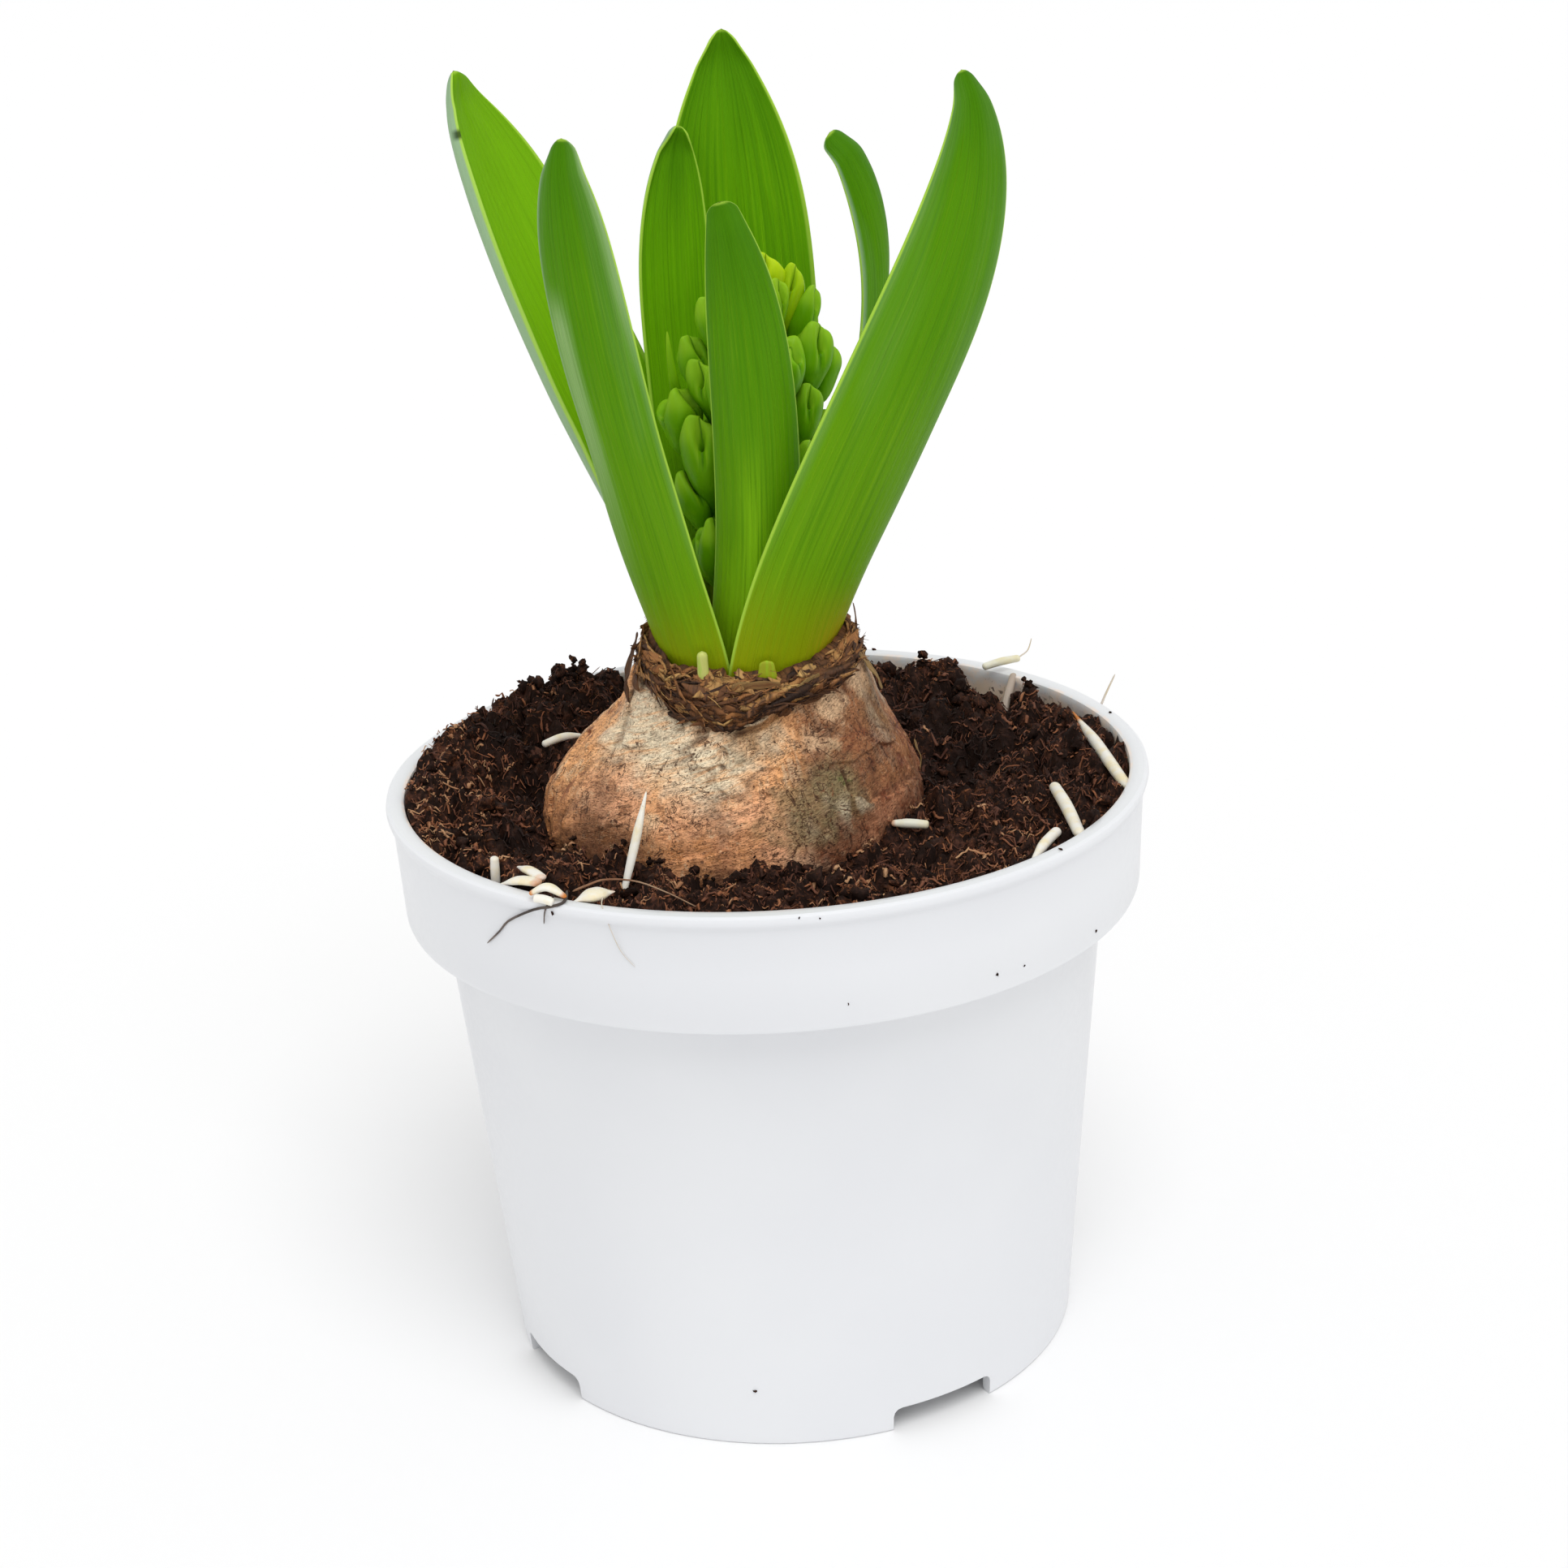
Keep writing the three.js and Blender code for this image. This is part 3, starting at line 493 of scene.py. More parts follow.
def socket_name(key):
    """The shader's name for a socket, such as Specular IOR Level for specular_ior_level."""
    return key.replace("_", " ").title().replace("Ior", "IOR")


class Finish:
    """One material, with constants on its shader and its changing values fed by signals."""

    def __init__(self, name, **constants):
        self.material = bpy.data.materials.new(name)
        self.material.use_nodes = True
        self.tree = self.material.node_tree
        self.tree.nodes.clear()
        sockets = {socket_name(key): value for key, value in constants.items()}
        self.shader = self.add("ShaderNodeBsdfPrincipled", {}, sockets)
        surface = {"Surface": self.shader.outputs["BSDF"]}
        self.add("ShaderNodeOutputMaterial", {}, surface)

    def add(self, kind, settings, values):
        """A node of a kind, with its settings made first and then its sockets filled."""
        node = self.tree.nodes.new(kind)
        for name, setting in settings.items():
            if name == "stops":
                self.set_stops(node.color_ramp, setting)
            else:
                setattr(node, name, setting)
        for name, value in values.items():
            self.feed(node.inputs[name], value)
        return node

    def signal(self, kind, settings, values, output=0):
        """What comes out of a new node."""
        return Signal(self, self.add(kind, settings, values).outputs[output])

    def set_stops(self, ramp, stops):
        while len(ramp.elements) < len(stops):
            ramp.elements.new(1.0)
        for element, (position, colour) in zip(ramp.elements, stops):
            element.position = position
            element.color = colour

    def feed(self, socket, value):
        if isinstance(value, Signal):
            value = value.socket
        if isinstance(value, bpy.types.NodeSocket):
            self.tree.links.new(value, socket)
        else:
            socket.default_value = value

    def show(self, colour, roughness, relief=None):
        """Feeds the shader with a colour, a roughness and the normal of a relief.

        The roughness is a grain and the figures for where it is low and where it is high.
        """
        grain, low, high = roughness
        shown = {"Base Color": colour, "Roughness": self.span(grain, 0.3, 0.7, low, high)}
        if relief:
            shown["Normal"] = self.relief(*relief)
        for name, value in shown.items():
            self.feed(self.shader.inputs[name], value)
        return self.material

    def math(self, operation, first, second=0.0):
        return self.signal("ShaderNodeMath", {"operation": operation}, {0: first, 1: second})

    def blend(self, factor, first, second):
        """Two colours, the second laid over the first by a factor."""
        settings = {"data_type": "RGBA", "clamp_factor": True}
        return self.signal("ShaderNodeMix", settings, {0: factor, 6: first, 7: second}, 2)

    def layers(self, colour, *laid):
        """A colour with others laid over it in turn, each by its own factor."""
        for factor, over in laid:
            colour = self.blend(factor, colour, over)
        return colour

    def most(self, first, *others):
        """The largest of several values."""
        for other in others:
            first = self.math("MAXIMUM", first, other)
        return first

    def ridge(self, value, middle, far, close):
        """1 where a value is close to the middle, 0 where it is far from it."""
        return self.span(self.math("ABSOLUTE", value - middle), far, close)

    def place(self):
        return self.signal("ShaderNodeTexCoord", {}, {}, "Object")

    def kept(self, name, output="Vector"):
        """The triple that the mesh keeps for every point, or as Fac the number."""
        return self.signal("ShaderNodeAttribute", {"attribute_name": name}, {}, output)

    def parts(self, vector):
        node = self.add("ShaderNodeSeparateXYZ", {}, {0: vector})
        return [Signal(self, output) for output in node.outputs]

    def joined(self, x, y, z):
        return self.signal("ShaderNodeCombineXYZ", {}, {0: x, 1: y, 2: z})

    def stretched(self, vector, scale):
        """A vector with each of its parts scaled."""
        values = {0: vector, 1: scale}
        return self.signal("ShaderNodeVectorMath", {"operation": "MULTIPLY"}, values)

    def distance(self, vector, point):
        """How far a vector is from a point in millimetres."""
        values = {0: vector, 1: tuple(c * MM for c in point)}
        return self.signal("ShaderNodeVectorMath", {"operation": "DISTANCE"}, values, "Value")

    def grain(self, vector, scale, detail=2.0, rough=0.5, distortion=0.0):
        """Noise around 0.5."""
        values = {"Vector": vector, "Scale": scale, "Detail": detail,
                  "Roughness": rough, "Distortion": distortion}
        return self.signal("ShaderNodeTexNoise", {}, values)

    def specks(self, vector, scale):
        """Distance to the nearest of many scattered spots."""
        values = {"Vector": vector, "Scale": scale}
        return self.signal("ShaderNodeTexVoronoi", {}, values, "Distance")

    def span(self, value, low, high, bottom=0.0, top=1.0):
        """A value from low to high made to run smoothly from bottom to top."""
        settings = {"interpolation_type": "SMOOTHSTEP"}
        values = {0: value, 1: low, 2: high, 3: bottom, 4: top}
        return self.signal("ShaderNodeMapRange", settings, values)

    def ramp(self, factor, *stops):
        return self.signal("ShaderNodeValToRGB", {"stops": stops}, {0: factor})

    def relief(self, height, distance, strength=1.0, below=None):
        """A normal that a height in metres times the distance would give."""
        values = {"Height": height, "Distance": distance, "Strength": strength}
        if below is not None:
            values["Normal"] = below
        return self.signal("ShaderNodeBump", {}, values)


def plastic_finish(look):
    """White moulded plastic: satin, a little uneven, with soil dust by the rim's inside."""
    f = Finish("white_plastic", ior=1.49, subsurface_weight=0.12,
               subsurface_radius=(0.004, 0.004, 0.004), subsurface_scale=0.6)
    place = f.place()
    x, y, z = f.parts(place)
    broad = f.grain(place, 22, 2)
    fine = f.grain(place, 900, 2)
    radius = f.math("SQRT", x * x + y * y)
    inside = f.span(radius, 0.0577, 0.0573) * f.span(z, 0.0768, 0.0774)
    low = f.span(z + (f.grain(place, 190, 3, 0.6) - 0.5) * 0.005, 0.0942, 0.0915)
    smear = f.span(f.grain(place, 160, 4, 0.7), 0.4, 0.62)
    dirt = f.span(f.grain(place, 620, 3, 0.7), 0.55, 0.66) * inside * low
    white = f.layers(
        look.plastic,
        (f.span(broad, 0.35, 0.65), look.plastic_shade),
        (inside * f.most(smear * 0.7, low), look.dust),
        (dirt * 0.8, look.dirt))
    roughness = fine, look.plastic_roughness - 0.04, look.plastic_roughness + 0.06
    return f.show(white, roughness, (fine, 0.00002, 0.5, f.relief(broad, 0.0006, 0.3)))


def peat_finish(look, name="peat"):
    """Moist peat: near black, with brown crumbs, rust-red fibre and painted shade in the hollows.
    """
    f = Finish(name, ior=1.35, specular_ior_level=0.25)
    place = f.place()
    broad = f.grain(place, 95, 3, 0.6)
    crumb = f.grain(place, 520, 4, 0.7)
    thread = f.grain(f.stretched(place, (1, 0.28, 0.6)), 1000, 3, 0.6, 1.4)
    cross = f.grain(f.stretched(place, (0.3, 1, 0.6)), 900, 3, 0.6, 1.2)
    threads = f.most(f.span(thread, 0.57, 0.7), f.span(cross, 0.59, 0.72))
    colour = f.layers(
        look.peat_dark_and_shade,
        (f.span(crumb, 0.45, 0.68), look.peat_brown),
        (f.span(broad, 0.6, 0.42) * 0.7, look.peat_dark_and_shade),
        (threads * f.span(broad, 0.4, 0.6, 0.15, 0.8), look.peat_red),
        # Painted shade in the hollows
        (f.kept("hollow", "Fac") * 0.75, look.peat_dark_and_shade))
    return f.show(colour, (crumb, 0.95, 0.6), (crumb * 0.6 + threads * 0.4, 0.0007, 0.9))


def shred_finish(look):
    """Shreds of peat, from near black to rust and straw by each shred's own tone."""
    f = Finish("peat_shred", ior=1.38, specular_ior_level=0.35)
    place = f.place()
    tone = f.kept("tone", "Fac")
    line = f.grain(place, 1500, 2, 0.6)
    tone = tone + (f.grain(place, 260, 2) - 0.5) * 0.35 + (line - 0.5) * 0.3
    colour = f.ramp(tone, (0.0, look.peat_dark_and_shade), (0.3, look.shred_dark), (0.55, look.shred_brown),
                    (0.78, look.peat_red), (1.0, look.shred_straw))
    return f.show(colour, (line, 0.5, 0.85), (line, 0.0002, 0.7))


def fibre_finish(look, name, first, second):
    """Fine root or fibre: patches of two colours, with a little soil on it."""
    f = Finish(name, ior=1.4)
    place = f.place()
    colour = f.layers(
        first,
        (f.span(f.grain(place, 130, 2), 0.35, 0.65), second),
        (f.span(f.grain(place, 1400, 2), 0.5, 0.75) * 0.4, look.peat_brown))
    rough = f.grain(place, 600)
    return f.show(colour, (rough, 0.6, 0.9), (f.grain(place, 2200, 2), 0.0001, 0.6))


def bulb_finish(look):
    """Papery bulb skin: cream, tan and rose, wrinkled, with mould, specks and fine cracks, painted
    shade on its sides, foot and folds, and painted highlight on its raised skin.
    """
    f = Finish("bulb_skin", ior=1.4, specular_ior_level=0.3)
    place = f.place()
    x, y, z = f.parts(place)
    skin = f.kept("skin")
    relief = f.kept("relief", "Fac")
    broad = f.grain(place, 75, 3, 0.6, 0.4)
    mottle = f.grain(place, 330, 4, 0.65, 0.3)
    fine = f.grain(place, 1150, 3, 0.7)
    streak = f.grain(f.stretched(skin, (0.16, 1.25, 1)), 1, 3, 0.6, 0.4)
    upright = f.grain(f.stretched(skin, (0.9, 0.1, 1)), 1, 3, 0.6, 0.5)
    warp = (broad - 0.5) * 0.016 + (mottle - 0.5) * 0.008

    def spots(places, reach, core):
        """1 at any of some places on the skin, fading out with a ragged edge."""
        closest = f.distance(place, places[0])
        for other in places[1:]:
            closest = f.math("MINIMUM", closest, f.distance(place, other))
        return f.span(closest + warp, reach * MM, core * MM)

    tone = f.span(broad * 0.4 + mottle * 0.35 + upright * 0.25, 0.38, 0.62)
    colour = f.ramp(tone, (0.0, look.skin_brown_and_shade), (0.25, look.skin_tan),
                    (0.65, look.skin_tan), (1.0, look.skin_cream))
    rosy = f.most(spots(ROSY_SKIN, 13, 5), f.span(z + warp, 0.0965, 0.0925))
    # The right side, browner and darker: brown skin and painted shade
    right = f.span(x + warp, 0.001, 0.012)
    # The left edge: painted shade
    left = f.span(x + warp * 0.4, -0.0295, -0.0345) * f.span(z, 0.102, 0.096)
    low = f.span(z + warp * 0.5, 0.0968, 0.0935) * f.span(x + warp, 0.004, -0.006)
    cream = spots(CREAM_SKIN, 11, 2.5)
    creamy = f.blend(f.span(streak, 0.3, 0.56), look.skin_cream, look.skin_pale_and_highlight)
    mould = spots(MOULD, 8.5, 4.5) * f.span(mottle, 0.3, 0.6, 0.7, 1.0)
    # Light flakes over the brown parts, and soil in cracks and specks
    flakes = f.span(f.grain(place, 620, 3, 0.7), 0.6, 0.68)
    cracks = f.ridge(f.grain(place, 200, 4, 0.6, 0.8), 0.5, 0.016, 0.004)
    cracks = cracks * f.span(broad, 0.44, 0.56)
    scratch = f.grain(f.stretched(skin, (0.5, 2.6, 1)), 1, 3, 0.7, 0.8)
    scratches = f.ridge(scratch, 0.5, 0.022, 0.006) * f.span(fine, 0.4, 0.55)
    grit = f.span(f.grain(place, 1500, 3, 0.75), 0.57, 0.66)
    dots = f.most(f.span(f.specks(place, 900), 0.2, 0.1),
                  f.span(f.specks(place, 330), 0.13, 0.07))
    dots = dots * f.span(f.grain(place, 150, 2), 0.42, 0.54)
    # Damp soil at the foot and in the lower left corner, darkened partly with painted shade
    corner = f.distance(place, DAMP_SHADED_CORNER) + warp * 0.8
    damp_and_shade = f.most(f.span(z + warp * 0.6, 0.0905, 0.0865), f.span(corner, 0.011, 0.004) * 0.85)
    # Fine dark wrinkles and pale fibres that slant over the skin
    hair = f.grain(f.stretched(skin, (0.42, 3.4, 1)), 1, 2, 0.6, 1.2)
    hairs = f.ridge(hair, 0.47, 0.012, 0.003)
    pale = f.ridge(hair, 0.54, 0.014, 0.004)
    colour = f.layers(
        colour,
        (rosy * f.span(mottle, 0.36, 0.6, 0.6, 1.0), look.skin_rose),
        # Brown skin and painted shade on the right side
        (right * f.span(mottle, 0.3, 0.55, 0.95, 0.6), look.skin_brown_and_shade),
        (right * f.span(broad, 0.4, 0.6, 0.15, 0.5), look.skin_soil_and_shade),
        # Painted shade on the left edge
        (left * f.span(mottle, 0.35, 0.6, 0.75, 0.35), look.skin_brown_and_shade),
        (f.span(mottle, 0.5, 0.4) * f.span(fine, 0.4, 0.6) * 0.45, look.skin_brown_and_shade),
        (low * f.span(mottle, 0.4, 0.6, 0.3, 0.8), look.skin_amber),
        (cream * f.span(mottle, 0.3, 0.45, 0.6, 0.95), creamy),
        (f.span(streak, 0.44, 0.34) * cream * 0.35, look.skin_tan),
        (spots(PALE_PATCHES, 4.5, 1.5) * 0.8, look.skin_cream),
        (spots(OLIVE_SKIN, 6, 2) * 0.6, look.skin_olive),
        (mould * 0.85, look.skin_mould),
        (spots([GREEN_SPOT], 2.4, 0.8) * 0.8, look.skin_green),
        # Fewer light flakes on the right side, with its painted shade
        (flakes * (0.6 - right * 0.4), look.skin_cream),
        # Painted shade in the sunken folds, and painted highlight on the raised skin
        (f.span(relief, -0.15, -0.8) * 0.75, look.skin_soil_and_shade),
        (f.span(relief, 0.3, 0.9) * 0.55, look.skin_pale_and_highlight),
        (cracks * 0.85, look.skin_soil_and_shade),
        (scratches * (0.65 - cream * 0.3), look.skin_soil_and_shade),
        (grit * f.span(mottle, 0.4, 0.6, 0.2, 0.6), look.skin_brown_and_shade),
        (dots * 0.85, look.skin_soil_and_shade),
        # Damp soil and painted shade at the foot
        (damp_and_shade * 0.85, look.skin_soil_and_shade),
        (hairs * f.span(broad, 0.35, 0.6, 0.4, 0.15), look.skin_brown_and_shade),
        # Fewer pale fibres on the right side, with its painted shade
        (pale * f.span(mottle, 0.4, 0.6, 0.1, 0.45) * (1 - right * 0.7), look.skin_cream))
    height = fine * 0.4 + mottle * 0.4 + streak * cream * 0.3 - scratches * 0.35 - hairs * 0.2
    return f.show(colour, (mottle, 0.5, 0.8), (height, 0.0012, 0.85))


def scale_finish(look):
    """Torn, dried scales: dark brown fibre with tan and straw-coloured tatters."""
    f = Finish("dry_scale", ior=1.4)
    place = f.place()
    line = f.grain(f.stretched(f.kept("grain"), (26, 26, 1.5)), 1, 3, 0.65, 0.4)
    patch = f.grain(place, 180, 3, 0.6)
    tone = f.kept("age", "Fac") * 0.85 + (patch - 0.5) * 0.8
    colour = f.ramp(tone, (0.0, look.scale_dark), (0.35, look.scale_brown),
                    (0.65, look.scale_tan), (1.0, look.scale_straw))
    colour = f.blend(f.span(line, 0.52, 0.36) * 0.75, colour, look.scale_dark)
    return f.show(colour, (patch, 0.6, 0.9), (line, 0.0005, 0.9))


def leaf_finish(look):
    """A fleshy leaf: parallel veins, a faint bloom and painted sheen outside, pale thin edges, a
    yellow foot, and painted light on the front leaf's foot.
    """
    f = Finish("leaf_skin", ior=1.42, specular_ior_level=0.09, subsurface_weight=0.08,
               subsurface_radius=(0.0012, 0.002, 0.0003), subsurface_scale=0.5)
    place = f.place()
    across, along, seed = f.parts(f.kept("blade"))
    outer = f.span(f.kept("side", "Fac"), -0.25, 0.25)
    vein = f.grain(f.joined(across * 20, along * 2.2, seed * 9), 1, 3, 0.6)
    fine = f.grain(f.joined(across * 62, along * 6, seed * 5), 1, 2, 0.5)
    cloud = f.grain(f.joined(across * 1.5, along * 3.4, seed * 3), 1, 2, 0.5)
    stripe = f.math("SINE", across * 58 + (vein - 0.5) * 5) * 0.5 + 0.5
    stripe = stripe * f.span(fine, 0.42, 0.62)
    light = f.blend(outer, look.inner_pale_and_painted_light, look.outer_light)
    edge = f.math("ABSOLUTE", across)

    names = [leaf[0] for leaf in LEAVES]

    def only(name):
        """1 on one leaf, 0 on the others."""
        return f.ridge(seed, names.index(name) / len(LEAVES), 0.06, 0.02)

    far_left, front_left = only("leaf_far_left"), only("leaf_front_left")
    front = only("leaf_front")
    drift = along + (cloud - 0.5) * 0.3
    # Waxy bloom outside, with painted sheen
    bloom_and_sheen = outer * f.span(cloud, 0.4, 0.62) * f.span(fine, 0.3, 0.7, 0.5, 1.0)
    bloom_and_sheen = bloom_and_sheen * f.span(along, 0.3, 0.6) * f.span(edge, 0.1, 0.75) * (1 - front * 0.75)
    # The yellow foot over the lower third of the blade, partly painted light where the bases lie
    # in shade
    foot = f.span(along + (vein - 0.5) * 0.1, 0.33, 0.1)
    keel = f.ridge(across, 0.1, 0.4, 0.05) * f.span(along, 0.6, 0.4)
    flush = f.span(f.parts(place)[0], 0.004, 0.014) * f.span(along, 0.3, 0.12)
    # Painted sheen on the front-left leaf's outer face
    gloss = f.ridge(across + (vein - 0.5) * 0.5, 0.6, 0.4, 0.08)
    gloss = gloss * f.span(along, 0.8, 0.72) * f.span(along, 0.3, 0.62)
    shine = f.most(gloss, f.span(across, -0.66, -0.95) * f.span(along, 0.62, 0.8))
    # Waxy rim and painted sheen along the edges of the outer face
    outer_rim_and_sheen = f.span(edge, 0.8, 0.95) * outer * f.span(along, 0.25, 0.5)
    outer_rim_and_sheen = outer_rim_and_sheen * f.span(seed, 0.8, 0.84, 0.12, 0.6) * (1 - front * 0.75)
    rim = f.most(f.span(edge, 0.94, 0.975), f.span(along, 0.994, 0.999))
    nick = f.ridge(along, 0.918, 0.01, 0.002) * far_left
    nick = nick * f.span(across, -0.75, -0.95) * 0.9
    marks = f.most(f.span(f.specks(place, 62), 0.028, 0.018) * 0.7, nick)
    # Lighter and yellower down the blade, deeper towards its tip
    colour = f.layers(
        f.blend(outer, look.inner_green, look.outer_green),
        (f.span(drift, 0.75, 0.2) * 0.6 + stripe * 0.3, light),
        (f.span(drift, 0.7, 1.0) * 0.6, look.outer_deep),
        (f.span(vein, 0.52, 0.34) * 0.35, look.outer_deep),
        (bloom_and_sheen * look.bloom_and_sheen, look.bloom_and_sheen_grey),
        (far_left * (1 - outer) * 0.45, look.inner_pale_and_painted_light),
        (foot * 0.9, look.foot_yellow_and_painted_light),
        (front * keel * f.span(vein, 0.35, 0.6) * 0.55, look.inner_pale_and_painted_light),
        # Painted light on the front leaf's foot, which lies in shade between the leaves
        (front * f.span(along, 0.42, 0.24) * 0.5, look.inner_pale_and_painted_light),
        (flush * f.span(vein, 0.4, 0.6, 0.15, 0.6), look.foot_red),
        # Painted sheen on the front-left leaf
        (front_left * outer * shine * f.span(fine, 0.3, 0.7, 0.35, 0.6), look.bloom_and_sheen_grey),
        (outer_rim_and_sheen, look.rim_grey_and_sheen),
        # Rolled margins show the outer face's waxy rim and painted sheen
        (f.span(f.kept("rolled", "Fac"), 0.1, 0.4) * outer * 0.75, look.rim_grey_and_sheen),
        (rim * 0.85, look.edge_pale),
        (marks, look.mark))
    return f.show(colour, (cloud, 0.4, 0.55), (stripe * 0.5 + fine * 0.5, 0.00014, 0.6))


def bud_finish(look):
    """Closed buds: green, yellower on the youngest, with painted shade in the seams and at the
    feet, and painted highlight beside the seams.
    """
    f = Finish("bud_skin", ior=1.42, specular_ior_level=0.16, subsurface_weight=0.12,
               subsurface_radius=(0.0012, 0.002, 0.0003), subsurface_scale=0.5)
    place = f.place()
    height, age, seam = f.parts(f.kept("bud"))
    cloud = f.grain(place, 160, 2)
    line = f.grain(f.stretched(place, (1, 1, 0.16)), 1500, 2)
    colour = f.layers(
        look.bud_green,
        (f.span(cloud, 0.35, 0.7) * 0.5, look.bud_light),
        # Painted shade at the feet of the buds
        (f.span(height, 0.55, 0.15) * 0.65, look.bud_shade),
        (f.span(height, 0.74, 0.97) * 0.55, look.bud_tip_and_highlight),
        (age, look.bud_young),
        # Painted highlight beside the seams
        (f.span(seam, -0.15, -0.65) * 0.55, look.bud_tip_and_highlight),
        # Painted shade in the seams
        (f.span(seam, 0.2, 0.8) * 0.7, look.bud_shade),
        (f.span(line, 0.52, 0.7) * 0.2, look.bud_light))
    return f.show(colour, (cloud, 0.4, 0.55), (line, 0.00012, 0.5))


def root_finish(look, name="white_root"):
    """Fleshy white root: cream, with a rusty end where the mesh asks for one."""
    f = Finish(name, ior=1.4, subsurface_weight=0.15,
               subsurface_radius=(0.001, 0.0009, 0.0007), subsurface_scale=0.5)
    place = f.place()
    rust, green, grey = f.parts(f.kept("tint"))
    cloud = f.grain(place, 340, 3, 0.6)
    dirt = f.span(f.specks(place, 900), 0.16, 0.08) * f.span(f.grain(place, 200, 2), 0.56, 0.66)
    colour = f.layers(
        look.root_white,
        (f.span(cloud, 0.4, 0.7), look.root_cream),
        (f.span(green, 0, 1), look.root_green),
        (f.span(grey, 0, 1), look.root_grey),
        (f.span(rust + (cloud - 0.5) * 0.5, 0.25, 0.8), look.root_rust),
        (dirt * 0.6, look.peat_brown))
    return f.show(colour, (cloud, 0.38, 0.6), (cloud, 0.00012, 0.5))


def shoot_finish(look):
    """Pale shoots in the neck: cream green, yellower at the foot, with faint upright lines."""
    f = Finish("pale_shoot", ior=1.42, subsurface_weight=0.2,
               subsurface_radius=(0.001, 0.001, 0.0004), subsurface_scale=0.5)
    place = f.place()
    x, _, z = f.parts(place)
    line = f.grain(f.stretched(place, (1, 1, 0.15)), 1600, 2)
    colour = f.layers(
        look.shoot,
        (f.span(x, -0.006, -0.002), look.foot_yellow_and_painted_light),
        (f.span(z, 0.1165, 0.1145) * 0.6, look.foot_yellow_and_painted_light),
        (f.span(line, 0.5, 0.7) * 0.4, look.inner_pale_and_painted_light))
    return f.show(colour, (line, 0.4, 0.55), (line, 0.0002, 0.5))


def floor_finish(look):
    """A plain pale floor with the faintest unevenness."""
    f = Finish("pale_floor", ior=1.3, specular_ior_level=0.2)
    soft = f.grain(f.place(), 3, 2)
    colour = f.blend(soft, look.floor, (look.floor[0] * 0.99,) * 3 + (1.0,))
    return f.show(colour, (soft, 0.9, 0.95))


# Sizes and colours that a user may change

def tint(name, about, *rgb):
    """A colour that a user may change, given as a screen shows it, from 0 to 255."""
    return bpy.props.FloatVectorProperty(
        name=name, description=about, default=srgb(*rgb), size=4, min=0, max=1, subtype="COLOR")


def amount(name, about, value, least=0):
    return bpy.props.IntProperty(name=name, description=about, default=value, min=least)


def fraction(name, about, value):
    return bpy.props.FloatProperty(
        name=name, description=about, default=value, min=0, max=1, subtype="FACTOR")


def metres(name, about, value):
    return bpy.props.FloatProperty(name=name, description=about, default=value, unit="LENGTH")


def decimal(name, about, value, least=0):
    return bpy.props.FloatProperty(name=name, description=about, default=value, min=least)


class PotLook(bpy.types.PropertyGroup):
    height: metres("Height", "Height of the pot, from its foot to its rim", POT_HEIGHT)
    steps: amount("Steps", "Faces round the pot", 160, 24)
    plastic: tint("Plastic", "Colour of the plastic", 228.5, 229.8, 232.4)
    plastic_shade: tint("Shade", "Slightly darker plastic, in patches", 225.3, 226.6, 229.8)
    dust: tint("Dust", "Soil dust on the inside of the rim", 250, 226, 206)
    dirt: tint("Dirt", "Soil that sticks inside the rim", 84, 58, 44)
    plastic_roughness: fraction("Roughness", "Roughness of the plastic", 0.34)


class SoilLook(bpy.types.PropertyGroup):
    relief: metres("Relief", "Height of the clods on the surface", 0.0021)
    crumbs: amount("Crumbs", "Loose crumbs on the surface", 520)
    shreds: amount("Shreds", "Short fine shreds on the surface", 6400)
    fibres: amount("Fibres", "Long fibres on the surface", 260)
    # Dark peat, also the painted shade in the hollows
    peat_dark_and_shade: tint("Dark peat", "Peat in crevices", 30, 17, 12)
    peat_brown: tint("Brown peat", "Peat on top", 84, 50, 36)
    peat_red: tint("Red fibre", "Fibre in the peat", 150, 94, 62)
    shred_dark: tint("Dark shreds", "Most of the shreds", 78, 45, 33)
    shred_brown: tint("Brown shreds", "Drier shreds", 120, 76, 56)
    shred_straw: tint("Straw shreds", "The palest shreds", 190, 146, 108)


class BulbLook(bpy.types.PropertyGroup):
    wrinkle: metres("Wrinkles", "Depth of the folds in the skin", 0.00045)
    # Pale skin, also the painted highlight on the raised skin
    skin_pale_and_highlight: tint("Pale skin", "Cleanest papery skin", 255, 238, 204)
    skin_cream: tint("Cream skin", "Light papery skin", 248, 208, 164)
    skin_tan: tint("Tan skin", "Most of the skin", 252, 184, 124)
    skin_rose: tint("Rose skin", "Flushed skin, low down", 255, 186, 140)
    skin_amber: tint("Amber skin", "Orange skin low in front", 214, 142, 82)
    # Brown skin, also the painted shade on the bulb's sides
    skin_brown_and_shade: tint("Brown skin", "Older skin", 134, 68, 38)
    skin_olive: tint("Olive skin", "Damp skin", 116, 94, 60)
    skin_mould: tint("Mould", "Grey-green bloom of mould", 136, 122, 86)
    skin_green: tint("Green mould", "Brighter spot of mould", 84, 112, 44)
    # Soil in cracks and specks, also the painted shade in the folds, on the right side and at the
    # foot
    skin_soil_and_shade: tint("Folds", "Soil in folds and specks", 70, 38, 24)


class CollarLook(bpy.types.PropertyGroup):
    flakes: amount("Flakes", "Torn scales round the neck", 420)
    threads: amount("Threads", "Fibres round the neck", 640)
    strips: amount("Strips", "Torn strips round the neck", 340)
    scale_dark: tint("Dark scale", "Decayed scale", 48, 30, 20)
    scale_brown: tint("Brown scale", "Most of the scales", 112, 72, 42)
    scale_tan: tint("Tan scale", "Drier scale", 156, 104, 58)
    scale_straw: tint("Straw scale", "Freshest tatters", 204, 164, 102)


